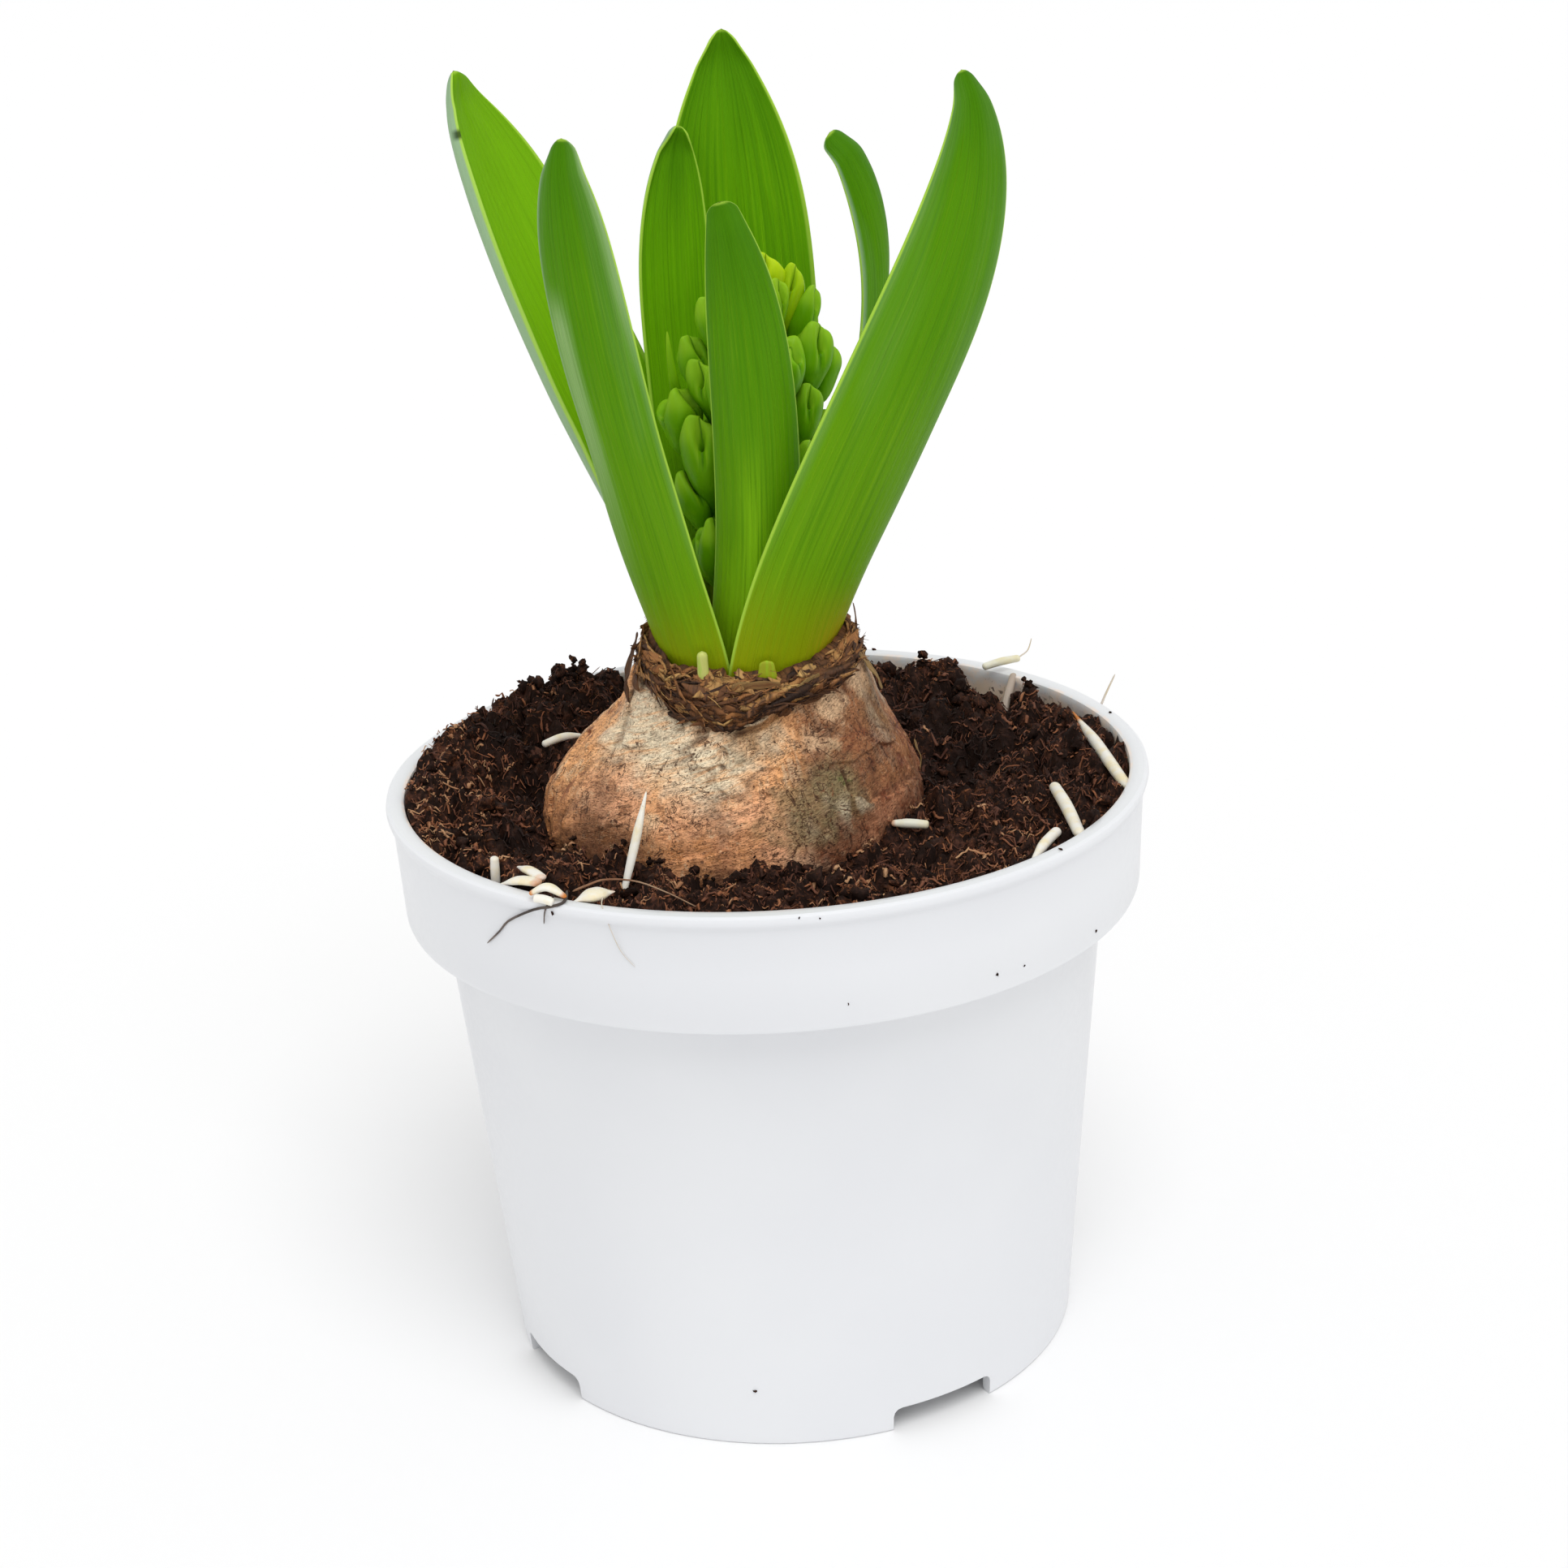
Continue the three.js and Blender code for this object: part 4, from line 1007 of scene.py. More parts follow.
class LeafLook(bpy.types.PropertyGroup):
    ribs: amount("Ribs", "Ribs across a blade", 15)
    # Strength of the bloom, also of its painted sheen
    bloom_and_sheen: fraction("Bloom", "Strength of the grey bloom outside", 0.09)
    inner_green: tint("Inner green", "Inside of the leaf", 104, 168, 2)
    # Lighter parts inside, also the painted light on the front leaf's foot
    inner_pale_and_painted_light: tint("Inner light", "Lighter parts inside", 142, 200, 20)
    outer_green: tint("Outer green", "Outside of the leaf", 82, 140, 2)
    outer_light: tint("Outer light", "Lighter parts outside", 116, 164, 14)
    outer_deep: tint("Deep green", "Tips and between the veins", 58, 116, 0)
    # The bloom's colour, also the painted sheen
    bloom_and_sheen_grey: tint("Bloom", "Waxy bloom", 168, 198, 138)
    # Waxy rim, also the painted sheen on the edges
    rim_grey_and_sheen: tint("Outer rim", "Waxy rim of the outside", 164, 192, 158)
    # Yellow foot, also painted light on the leaves' shaded bases
    foot_yellow_and_painted_light: tint("Foot", "Foot of the leaf", 150, 158, 8)
    foot_red: tint("Flush", "Faint red at the foot", 204, 136, 34)
    edge_pale: tint("Edge", "Thin edge of the leaf", 172, 212, 72)
    mark: tint("Marks", "Small dark marks", 40, 60, 20)
    shoot: tint("Shoot", "Pale stubs in the neck", 196, 200, 110)


class SpikeLook(bpy.types.PropertyGroup):
    bud_green: tint("Bud green", "Grown buds", 104, 164, 2)
    bud_light: tint("Light green", "Lighter clouds on buds", 132, 186, 8)
    # Paler tepal tips, also the painted highlight beside the seams
    bud_tip_and_highlight: tint("Tip green", "Tips and edges of the tepals", 158, 200, 44)
    bud_young: tint("Young bud", "The youngest buds", 190, 214, 10)
    # Painted shade in the seams between tepals and at the feet
    bud_shade: tint("Seams", "Seams between tepals and the feet", 48, 104, 0)


class RootLook(bpy.types.PropertyGroup):
    root_white: tint("White root", "Clean root", 238, 234, 224)
    root_cream: tint("Cream root", "Older root", 236, 222, 184)
    root_rust: tint("Rusty end", "Broken end", 204, 122, 46)
    root_green: tint("Green root", "Root in the light", 196, 200, 160)
    root_grey: tint("Grey root", "Dirty root", 176, 160, 146)
    peat_brown: tint("Soil", "Soil on the root", 82, 52, 37)
    hair_dark: tint("Dark hair", "Fine root over the rim", 70, 62, 58)
    hair_brown: tint("Brown hair", "Fine root on the soil", 128, 84, 58)


class StageLook(bpy.types.PropertyGroup):
    floor: tint("Floor", "Colour of the floor", 243.4, 243.4, 243.4)
    sky: decimal("Sky", "Strength of the even light", 0.8)
    sun: decimal("Key", "Strength of the soft key light", 1.2)
    lens: decimal("Lens", "Focal length in millimetres", 67.96, 10)


# Pot

class HYACINTH_OT_pot(bpy.types.Operator):
    """Turn the stepped white pot, with its notched foot and drain holes"""
    bl_idname = "hyacinth.pot"
    bl_label = "Pot"

    notches, first_notch = 4, -61
    drains, drain_ring, drain_radius = 8, 32, 3.5

    def execute(self, context):
        look = context.scene.hyacinth_pot
        top = look.height / MM
        outline = [
            (0, 4.6), (43.9, 4.6), (44.15, 4.4), (44.2, 4.1), (44.2, 0.35), (44.45, 0),
            (45.75, 0), (46.02, 0.3), (48.6, 30), (52.66, 75.4), (53, 75.9), (53.6, 76),
            (57.6, 76), (58.2, 76.25), (58.44, 76.9), (58.8, 85), (59.18, top - 2.8),
            (59.4, top - 2.2), (59.8, top - 1.7), (60, top - 1), (59.86, top - 0.4),
            (59.4, top - 0.06), (58.6, top), (57.6, top - 0.06), (57.15, top - 0.35),
            (57, top - 0.9), (57.15, top - 2), (57.15, 78.6), (56.7, 77.5), (56.1, 77.3),
            (51.7, 77.3), (51.35, 77), (44.75, 6.5), (44.3, 6), (0, 6),
        ]
        pot = turned("plastic_pot", outline, look.steps)
        cutters = [self.notch(i) for i in range(self.notches)]
        cutters += [self.drain(TURN * i / self.drains) for i in range(self.drains)]
        for cutter in cutters:
            modify(pot, "BOOLEAN", operation="DIFFERENCE", solver="EXACT", object=cutter)
            bpy.data.objects.remove(cutter)
        bpy.ops.object.shade_smooth_by_angle(angle=math.radians(32))
        dress(pot, plastic_finish(look), "white_plastic", "pot")
        return {"FINISHED"}

    def notch(self, i):
        """A block with chamfered top corners that opens the foot ring."""
        clear_selection()
        bpy.ops.mesh.primitive_cube_add(size=1)
        cutter = named("notch")
        place_points(cutter, points_of(cutter) * (8, 18, 5) + (46, 0, 1.5))
        edit_all(cutter)
        bpy.ops.mesh.select_all(action="DESELECT")
        bpy.ops.object.mode_set(mode="OBJECT")
        for edge in cutter.data.edges:
            a, b = (cutter.data.vertices[v].co for v in edge.vertices)
            edge.select = min(a.z, b.z) > 3.9 * MM and abs(a.y - b.y) < 1e-6
        bpy.ops.object.mode_set(mode="EDIT")
        bpy.ops.mesh.bevel(offset=1.4 * MM, segments=3)
        bpy.ops.object.mode_set(mode="OBJECT")
        turn = math.radians(self.first_notch + 360 / self.notches * i)
        cutter.data.transform(Matrix.Rotation(turn, 4, "Z"))
        return cutter

    def drain(self, angle):
        """A round hole in the floor."""
        clear_selection()
        bpy.ops.mesh.primitive_cylinder_add(
            vertices=32, radius=self.drain_radius * MM, depth=6 * MM,
            location=tuple(round_about(angle, self.drain_ring, 5.3) * MM))
        cutter = named("drain")
        cutter.data.transform(cutter.matrix_world)
        cutter.matrix_world = Matrix.Identity(4)
        return cutter


# Bulb

def bulb_shift(z):
    return mix(BODY_SHIFT, NECK_SHIFT, smooth((z - 90) / 22))


def bulb_radius(z):
    curve = curve_through(BULB_OUTLINE, np.linspace(0, 1, 200))
    return np.interp(z, curve[:, 1], curve[:, 0])


def bulb_swell(angle, z):
    body = smooth((z - 62) / 10) * smooth((108 - z) / 14)
    return 1 + 0.018 * body * (np.sin(2 * angle + 0.8) + 0.7 * np.sin(3 * angle - 0.6))


def round_bulb(angle, radius, z):
    """Points at a radius round the bulb's bent axis."""
    return round_about(angle, radius, z) + columns(bulb_shift(z), 0.0, 0.0)


def beside_bulb(angle, z, gap):
    """Points at a gap outside the bulb's smooth skin."""
    return round_bulb(angle, bulb_radius(z) * bulb_swell(angle, z) + gap, z)


def near(points, place, reach):
    """1 at a place, falling smoothly to 0 at a reach from it."""
    return smooth(1 - np.linalg.norm(points - np.array(place), axis=1) / reach)


def skin_sheet(points, angle):
    """The skin laid flat, in millimetres: along the slanting wrinkles, and across them."""
    arc = 26 * angle
    return columns(arc + 0.25 * points[:, 2], points[:, 2] - 0.25 * arc, 0.0)


def on_neck(angle, height=0.0):
    """Points on the neck for noise to read, so that it closes on itself behind."""
    return round_about(angle, NECK_RADIUS, height)


def skin_relief(points, angle):
    """How far the papery skin stands out of the round bulb, in wrinkle depths."""
    x, y, z = points.T
    sheet = skin_sheet(points, angle)
    total = 0.8 * noise(points, 6, 3) + 0.6 * noise(points, 2.8, 4) + 0.4 * noise(points, 1.4, 5)
    # Upright folds that gather towards the neck
    total += 0.7 * smooth((z - 98) / 11) * noise(on_neck(angle, z * 0.16), 1.7, 6)
    # Slanting wrinkles over the cream skin
    cream = np.max([near(points, place, 11) for place in CREAM_SKIN], axis=0)
    wrinkles = noise(sheet * (0.13, 1, 1), 1.05, 9) + 0.6 * noise(sheet * (0.2, 1, 1), 0.55, 10)
    total += 0.7 * cream * wrinkles
    # Torn edges of the outer skin
    torn = layered(points * (1, 1, 1.6), 13, 3, 21)
    total += 1.1 * smooth((torn - 0.08) / 0.03) - 0.5
    # The curl: a small torn arch in the upper middle
    across, up = x - CURL[0], z - CURL[2]
    ring = np.hypot(across / 1.15, up / 1.7)
    arch = hump(ring, 1, 0.28) * smooth((across + up + 1.2) / 1.5)
    front = smooth((-y - 12) / 4)
    total += front * (1.4 * arch - 1.5 * hump(ring, 0.55, 0.3) * (ring < 1.2))
    # The crack on the right, its right lip raised
    share = (z - CRACK_FOOT[2]) / (CRACK_TOP[2] - CRACK_FOOT[2])
    beside = x - mix(CRACK_FOOT[0], CRACK_TOP[0], share) - 0.2 * np.sin(1.1 * z)
    long = front * smooth((share + 0.1) / 0.2) * smooth((1.1 - share) / 0.2)
    total += long * (0.4 * hump(beside, 0.7, 0.5) - 1.3 * hump(beside, 0, 0.22))
    # A fold from the collar's dip up to the right
    fold = z - 107.3 - 0.26 * (x + 4.3) - 0.4 * noise(points, 3, 14)
    reach = front * smooth((x + 5) / 2) * smooth((8 - x) / 3)
    total += reach * (1.3 * hump(fold, 0.7, 0.5) - 1.8 * hump(fold, 0, 0.4))
    return total


class HYACINTH_OT_bulb(bpy.types.Operator):
    """Turn the bulb, lean its body to the left and wrinkle its papery skin"""
    bl_idname = "hyacinth.bulb"
    bl_label = "Bulb"

    def execute(self, context):
        look = context.scene.hyacinth_bulb
        shares = np.concatenate([np.linspace(0, 0.44, 14), np.linspace(0.46, 1, 150)])
        side = curve_through(BULB_OUTLINE, shares)
        cup = [(16.9, 110.9), (16.2, 111), (15.7, 110.5), (14.9, 104), (0, 104)]
        outline = [(0, 61.5), (4.5, 61.5), *side, *cup]
        bulb = turned("papery_bulb", outline, 440)
        points = points_of(bulb) / MM
        x, y, z = points.T
        angle = np.arctan2(y, x)
        swell = bulb_swell(angle, z)
        moved = columns(x * swell + bulb_shift(z), y * swell, z)
        skin = smooth((np.hypot(x, y) - bulb_radius(z) + 1.5) / 1.2) * smooth((111.6 - z) / 2)
        skin = skin * smooth((z - 62) / 4)
        relief = skin_relief(moved, angle)
        tall = np.array((1, 1, 0.7))
        out = skin * (look.wrinkle / MM * relief + 1.3 * near(moved * tall, LOBE * tall, 4.2))
        moved = moved + out[:, None] * unit(round_about(angle, 1, 0.35))
        # The skin stands up round the sides of the neck, with a torn edge
        edge = by_direction(COLLAR_LOW, angle) + 1 + 0.8 * noise(on_neck(angle), 2.2, 15)
        moved[:, 2] += np.maximum(edge - 110.9, 0) * smooth((z - 104) / 6.9)
        place_points(bulb, moved)
        give(bulb, "skin", skin_sheet(moved, angle))
        # The relief also sets the painted shade in the folds and the painted highlight on the
        # raised skin
        give(bulb, "relief", np.clip(skin * relief / 2.2, -1, 1))
        dress(bulb, bulb_finish(look), "bulb_skin", "bulb")
        return {"FINISHED"}


# Roots under the bulb

class HYACINTH_OT_roots(bpy.types.Operator):
    """Finish the basal plate and the living roots inside the soil"""
    bl_idname = "hyacinth.roots"
    bl_label = "Roots"

    def execute(self, context):
        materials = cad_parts["roots"].data.materials
        materials.clear()
        materials.append(root_finish(context.scene.hyacinth_roots, "hidden_root"))
        return {"FINISHED"}


# Soil

def heaped(x, y, heaps):
    """How high several heaps and dips stand together."""
    return sum(height * hump(np.hypot(x - heap_x, y - heap_y), 0, spread)
               for heap_x, heap_y, height, spread in heaps)


def soil_level(x, y):
    """The smooth lie of the soil, as the CAD solid has it."""
    flat = columns(x, y, 0.0)
    z = SOIL_LEVEL + 2.2 * smooth((np.hypot(x, y) - 36) / 21) + heaped(x, y, MOUNDS)
    return z + 1.2 * noise(flat, 9) + noise(flat, 4.2)


def apart_from(x, y, spots):
    """How far each of many places is from the nearest of some spots."""
    return np.min([np.hypot(x - spot[0], y - spot[1]) for spot in spots], axis=0)


def bit_path(start, end, bow):
    """The course of a piece of root, bowed up in the middle."""
    return np.array([start, np.mean([start, end], axis=0) + bow * UP, end])


def soil_surface(x, y, relief):
    """The soil with its clods and crevices, kept below the pieces of root that lie on it."""
    flat = columns(x, y, 0.0)
    bent = flat + columns(noise(flat, 5, 41), noise(flat, 5, 42), 0.0) * 1.6
    clod, next_clod = pebbles(bent, 8.5, 50)
    crumb, next_crumb = pebbles(bent, 3.4, 60)
    z = soil_level(x, y) + heaped(x, y, DIPS)
    z = z + relief * (1.3 * (0.5 - clod) - 1.2 * smooth(1 - (next_clod - clod) / 0.2))
    z = z + relief * (0.7 * (0.5 - crumb) - 0.6 * smooth(1 - (next_crumb - crumb) / 0.25))
    z = z + relief * (0.8 * noise(flat, 2.3, 45) + 0.5 * noise(flat, 1.2, 43))
    # Low enough at the wall to stay under the rim, and at each piece of root to stay under it
    z = np.minimum(z, 95.6 + 1.3 * (SOIL_EDGE - np.hypot(x, y)))
    for start, end, radius, bow in ROOT_BITS:
        path = curve_through(bit_path(start, end, bow), np.linspace(0, 1, 24))
        apart = np.hypot(x[:, None] - path[:, 0], y[:, None] - path[:, 1])
        closest, apart = apart.argmin(axis=1), apart.min(axis=1)
        ceiling = path[closest, 2] - 0.35 * radius + 1.4 * np.maximum(apart - 1, 0)
        z = np.where(apart < 3, np.minimum(z, ceiling), z)
    return z


class HYACINTH_OT_soil(bpy.types.Operator):
    """Lay the peat: a closed body round the bulb with clods and crevices on top"""
    bl_idname = "hyacinth.soil"
    bl_label = "Soil"

    # Rows of the grid down the bulb's bed, over the top and down the pot's wall
    bed_rows, top_rows, wall_rows = 12, 103, 15

    def execute(self, context):
        look = context.scene.hyacinth_soil
        relief = look.relief / MM
        rows = self.bed_rows + self.top_rows + self.wall_rows
        soil, angle, share = wrapped("peat_soil", 420, rows)
        row = np.rint(share * rows)
        out = round_about(angle)
        # The lip against the bulb, and the edge against the wall
        around = out * 29.5 + (BODY_SHIFT, 0)
        lip_z = soil_level(*around.T) - 1.5
        lip = beside_bulb(angle, lip_z, 0.1)[:, :2]
        edge = out * SOIL_EDGE
        top = (row - self.bed_rows) / self.top_rows
        spot = mix(lip, edge, np.clip(top, 0, 1)[:, None])
        height = mix(lip_z, soil_surface(*spot.T, relief), smooth(top / 0.03))
        surface = columns(*spot.T, height)
        # Down the bulb's bed on the inside, and down the pot's wall on the outside
        bed_z = mix(61.2, lip_z, np.clip(row / self.bed_rows, 0, 1))
        bed = beside_bulb(angle, bed_z, 0.1)
        bed[row == 0] = round_bulb(angle, 0.0, bed_z)[row == 0]
        below = row - self.bed_rows - self.top_rows
        down = np.clip(below / self.wall_rows, 0, 1)
        edge_z = soil_surface(*edge.T, relief)
        corners = [0, 0.2, 0.3, 0.93, 1]
        wall_r = np.interp(down, corners, [SOIL_EDGE, 56.2, 51, 44.2, 0])
        wall_z = np.interp(down, corners, [1, 0, 0, -1, -1])
        wall_z = np.where(wall_z > 0, mix(78.8, edge_z, wall_z), mix(77.8, 6.4, -wall_z))
        wall = round_about(angle, wall_r, wall_z)
        points = np.where((row < self.bed_rows)[:, None], bed, surface)
        points = np.where((below > 0)[:, None], wall, points)
        place_points(soil, points)
        # Where the hollows get painted shade
        give(soil, "hollow", hollow(*points[:, :2].T))
        dress(close_up(soil), peat_finish(look), "peat", "soil")
        return {"FINISHED"}


def hollow(x, y):
    """Painted shade: 1 in the dark hollows, 0 a few millimetres away from them."""
    return smooth(1.3 - apart_from(x, y, SHADED_HOLLOWS) / 5.5)


def scatter(count, seed, clear=1.6):
    """Spots drawn evenly over the soil, clear of the bulb and of the pieces of root."""
    source = np.random.default_rng(seed)
    roots = np.vstack([curve_through(bit_path(start, end, bow), np.linspace(0, 1, 12))
                       for start, end, _, bow in ROOT_BITS])
    spots = []
    while len(spots) < count:
        radius = (SOIL_EDGE - 0.6) * math.sqrt(source.random())
        angle = TURN * source.random()
        x, y = radius * math.cos(angle), radius * math.sin(angle)
        apart = np.hypot(roots[:, 0] - x, roots[:, 1] - y).min()
        if math.hypot(x - BODY_SHIFT, y) > BULB_FOOT_RADIUS and apart > clear:
            spots.append((x, y))
    return np.array(spots), source


def random_turns(source, count):
    """Rotations that turn a shape every way, one for each copy."""
    turns = unit(source.normal(size=(count, 4)))
    return np.array([Quaternion(turn).to_matrix() for turn in turns])


class HYACINTH_OT_crumbs(bpy.types.Operator):
    """Scatter loose crumbs and clods over the soil"""
    bl_idname = "hyacinth.crumbs"
    bl_label = "Crumbs"

    # Where crumbs lie in heaps, how many cling to the bulb, and specks on the pot: x, y, z
    # and size
    heaps = [
        (-33, 41), (-31.5, 42), (-32, 41.5), (-36, 38), (-30, 42), (45, 31), (35, 38), (46, 29),
        (-38, 36), (29, 45), (14, 50), (-48, 26),
    ]
    clinging = 160
    specks = [
        (9.7, -57.7, 80, 0.25), (31.6, -49.3, 79.4, 0.3), (35.8, -46.2, 79.1, 0.2),
        (3.4, -59.7, 94.5, 0.22), (6.3, -59.6, 94.2, 0.2), (47.8, -33.7, 78.4, 0.25),
        (-7.1, -46.4, 10.2, 0.3), (53.9, -18, 95, 0.3), (42, -41.3, 95, 0.35),
        (56.5, 16, 95, 0.3), (-31.5, -51.1, 93.7, 0.3), (20, 55.6, 95, 0.4),
    ]

    def execute(self, context):
        look = context.scene.hyacinth_soil
        clear_selection()
        bpy.ops.mesh.primitive_uv_sphere_add(segments=8, ring_count=6, radius=1)
        ball, faces = pattern(named("crumb_pattern"))
        spots, source = scatter(look.crumbs, 7, 2.4)
        size = mix(0.3, 1.5, source.random(look.crumbs) ** 2.6)
        size = np.minimum(size, 0.4 * (np.hypot(spots[:, 0] - BODY_SHIFT, spots[:, 1]) - 29))
        heap = np.repeat(np.array(self.heaps, float), 9, axis=0)
        heap += source.normal(size=heap.shape) * 1.5
        heap = heap[np.hypot(*heap.T) < 56.5]
        spots = np.vstack([spots, heap])
        size = np.concatenate([size, mix(0.3, 0.95, source.random(len(heap)) ** 1.5)])
        z = soil_surface(*spots.T, look.relief / MM) + 0.2 * size
        z[look.crumbs:] += 1.3 * source.random(len(heap))
        # Soil that clings round the foot of the bulb, and specks on the pot
        turn = np.radians(mix(150, 310, source.random(self.clinging)))
        foot = round_about(turn, BULB_FOOT_RADIUS + 0.6) + (BODY_SHIFT, 0)
        low = soil_surface(*foot.T, look.relief / MM)
        low = low + 0.9 * source.random(self.clinging) ** 2 - 0.2
        ring = beside_bulb(turn, low, 0.3)[:, :2]
        stuck = np.array(self.specks, float)
        spots = np.vstack([spots, ring, stuck[:, :2]])
        z = np.concatenate([z, low, stuck[:, 2]])
        small = mix(0.2, 0.55, source.random(self.clinging) ** 2)
        size = np.concatenate([size, small, stuck[:, 3]])
        count = len(spots)
        stretch = mix(0.5, 1.3, source.random((count, 1, 3)))
        shape = np.broadcast_to(ball, (count, *ball.shape))
        keys = np.arange(count)[:, None, None] * 3.7
        bumps = layered((shape * 1.5 + keys).reshape(-1, 3), 0.9, 2, 5).reshape(count, -1, 1)
        shape = shape * (1 + 0.75 * bumps) * stretch * size[:, None, None]
        shape = np.einsum("nij,nkj->nki", random_turns(source, count), shape)
        crumbs = gathered("peat_crumbs", faces, shape + columns(*spots.T, z)[:, None])
        dress(crumbs, peat_finish(look, "peat_crumb"), "peat")
        return {"FINISHED"}


class HYACINTH_OT_shreds(bpy.types.Operator):
    """Mat the soil with shreds and fibres of peat that lie flat, every way"""
    bl_idname = "hyacinth.shreds"
    bl_label = "Shreds"

    def execute(self, context):
        look = context.scene.hyacinth_soil
        finish = shred_finish(look)
        kinds = [
            ("peat_shreds", look.shreds // 3, 13, (1.2, 4.2), (0.2, 0.55), 0.28),
            ("peat_threads", look.shreds, 14, (0.9, 3.8), (0.07, 0.22), 0.6),
            ("peat_fibres", look.fibres, 11, (4, 9), (0.1, 0.2), 0.7),
        ]
        for kind in kinds:
            dress(self.mat(*kind, look), finish, "peat")
        return {"FINISHED"}

    def mat(self, name, count, seed, lengths, radii, flatness, look):
        rod, faces = strand_pattern(3, 6)
        spots, source = scatter(count, seed)
        length = mix(*lengths, source.random(count) ** 1.6)[:, None]
        share = np.linspace(-0.5, 0.5, 5)
        course = TURN * source.random((count, 1)) + 0.8 * source.normal(size=(count, 1)) * share
        course = course + 0.3 * source.normal(size=(count, 5))
        walk = np.cumsum(round_about(course, length / 5), axis=1)
        walk = spots[:, None] + walk - walk.mean(axis=1, keepdims=True)
        reach = np.linalg.norm(walk, axis=2)
        walk = walk * np.minimum(1, 56.8 / reach)[..., None]
        x, y = walk.reshape(-1, 2).T
        z = soil_surface(x, y, look.relief / MM).reshape(count, 5)
        level = z.mean(axis=1, keepdims=True)
        lift = mix(0.05, 0.7, source.random((count, 1)) ** 1.5)
        z = level + 0.35 * (z - level) + lift + 0.22 * source.normal(size=(count, 5))
        z = z + 0.06 * length * source.normal(size=(count, 1)) * 2 * share
        paths = np.concatenate([walk, z[..., None]], axis=2)
        thick = mix(*radii, source.random(count) ** 1.8)
        strands = [strand(rod, path, r, flatness) for path, r in zip(paths, thick)]
        shreds = gathered(name, faces, strands)
        # Paler on the clods and in the tufts, darker in whole patches, and painted shade in the
        # hollows
        x, y, z = paths[:, 2].T
        flat = columns(x, y, 0.0)
        clod = (z - soil_level(x, y)) / (1.2 * look.relief / MM)
        patch = noise(flat, 11, 77) + 0.6 * noise(flat, 4, 78)
        tone = 0.14 + 0.66 * source.random(count) ** 1.9 + 0.13 * clod + 0.14 * patch
        tone += 0.4 * smooth(1 - apart_from(x, y, TUFTS) / 4.5) * source.random(count)
        tone += 0.16 * smooth(-y / 20) + 0.2 * smooth(-(x + 36) / 10) - 0.7 * hollow(x, y)
        give(shreds, "tone", np.repeat(np.clip(tone, 0, 1), len(rod)))
        return shreds


# Scales and shoots at the neck

def neck_radius(z):
    """Radius of the bulb's shoulder, and of its papery skin where it stands up the neck."""
    neck = np.interp(z, [SHOULDER, 113, 118], [17.3, 17.1, NECK_RADIUS])
    return np.where(z < SHOULDER, bulb_radius(z), neck)


def by_direction(table, angle):
    degrees, heights = zip(*table)
    return np.interp(np.degrees(angle), degrees, heights, period=360)


def leaf_bundle():
    """How far the bundle of leaves reaches from the neck's middle, by height and direction."""
    flat = np.array([(a, b) for b in np.linspace(-1, 1, 141) for a in np.linspace(-1, 1, 49)])
    table = np.full((12, 90), 9.0)
    for number, leaf in enumerate(LEAVES):
        place = blade_points(leaf, number, flat, 0)[0]
        x, y = place[:, 0] - bulb_shift(place[:, 2]), place[:, 1]
        level = np.floor((place[:, 2] - 104) / 2).astype(int)
        turn = np.floor(np.arctan2(y, x) / TURN % 1 * 90).astype(int)
        low = (level >= 0) & (level < 12)
        np.maximum.at(table, (level[low], turn[low]), np.hypot(x, y)[low])
    for _ in range(4):
        table = np.maximum(table, (np.roll(table, 1, 1) + np.roll(table, -1, 1)) / 2)

    def reach(angle, z):
        level = np.clip((z - 105) / 2, 0, 10.99)
        row = level.astype(int)
        turn = angle / TURN % 1 * 90 - 0.5
        column = np.floor(turn).astype(int)
        low, high = (mix(table[r, column % 90], table[r, (column + 1) % 90], turn - column)
                     for r in (row, row + 1))
        return mix(low, high, level - row)

    return reach


class Collar:
    """The band that the torn scales fill, from the bulb's shoulder up against the leaves."""

    def __init__(self):
        self.reach = leaf_bundle()

    def height(self, angle, share):
        low, high = by_direction(COLLAR_LOW, angle), by_direction(COLLAR_HIGH, angle)
        return mix(low, high, share)

    def place(self, angle, share, out):
        """A point of the band, share 0 at its foot and 1 at its top, moved outward."""
        z = self.height(angle, share)
        shoulder = neck_radius(self.height(angle, 0))
        leaves = np.minimum(self.reach(angle, self.height(angle, 1)) + 0.35, shoulder + 0.6)
        front = smooth((-np.sin(angle) - 0.1) / 0.7)
        bulge = 1.7 * front * np.clip(4 * share * (1 - share), 0, 1)
        left = smooth((-np.cos(angle) - 0.6) / 0.3)
        out = out * mix(0.7, 1, front) - 0.4 * left
        radius = mix(shoulder, leaves, np.clip(share, 0, 1.2)) + bulge + out
        return round_bulb(angle, radius, z)


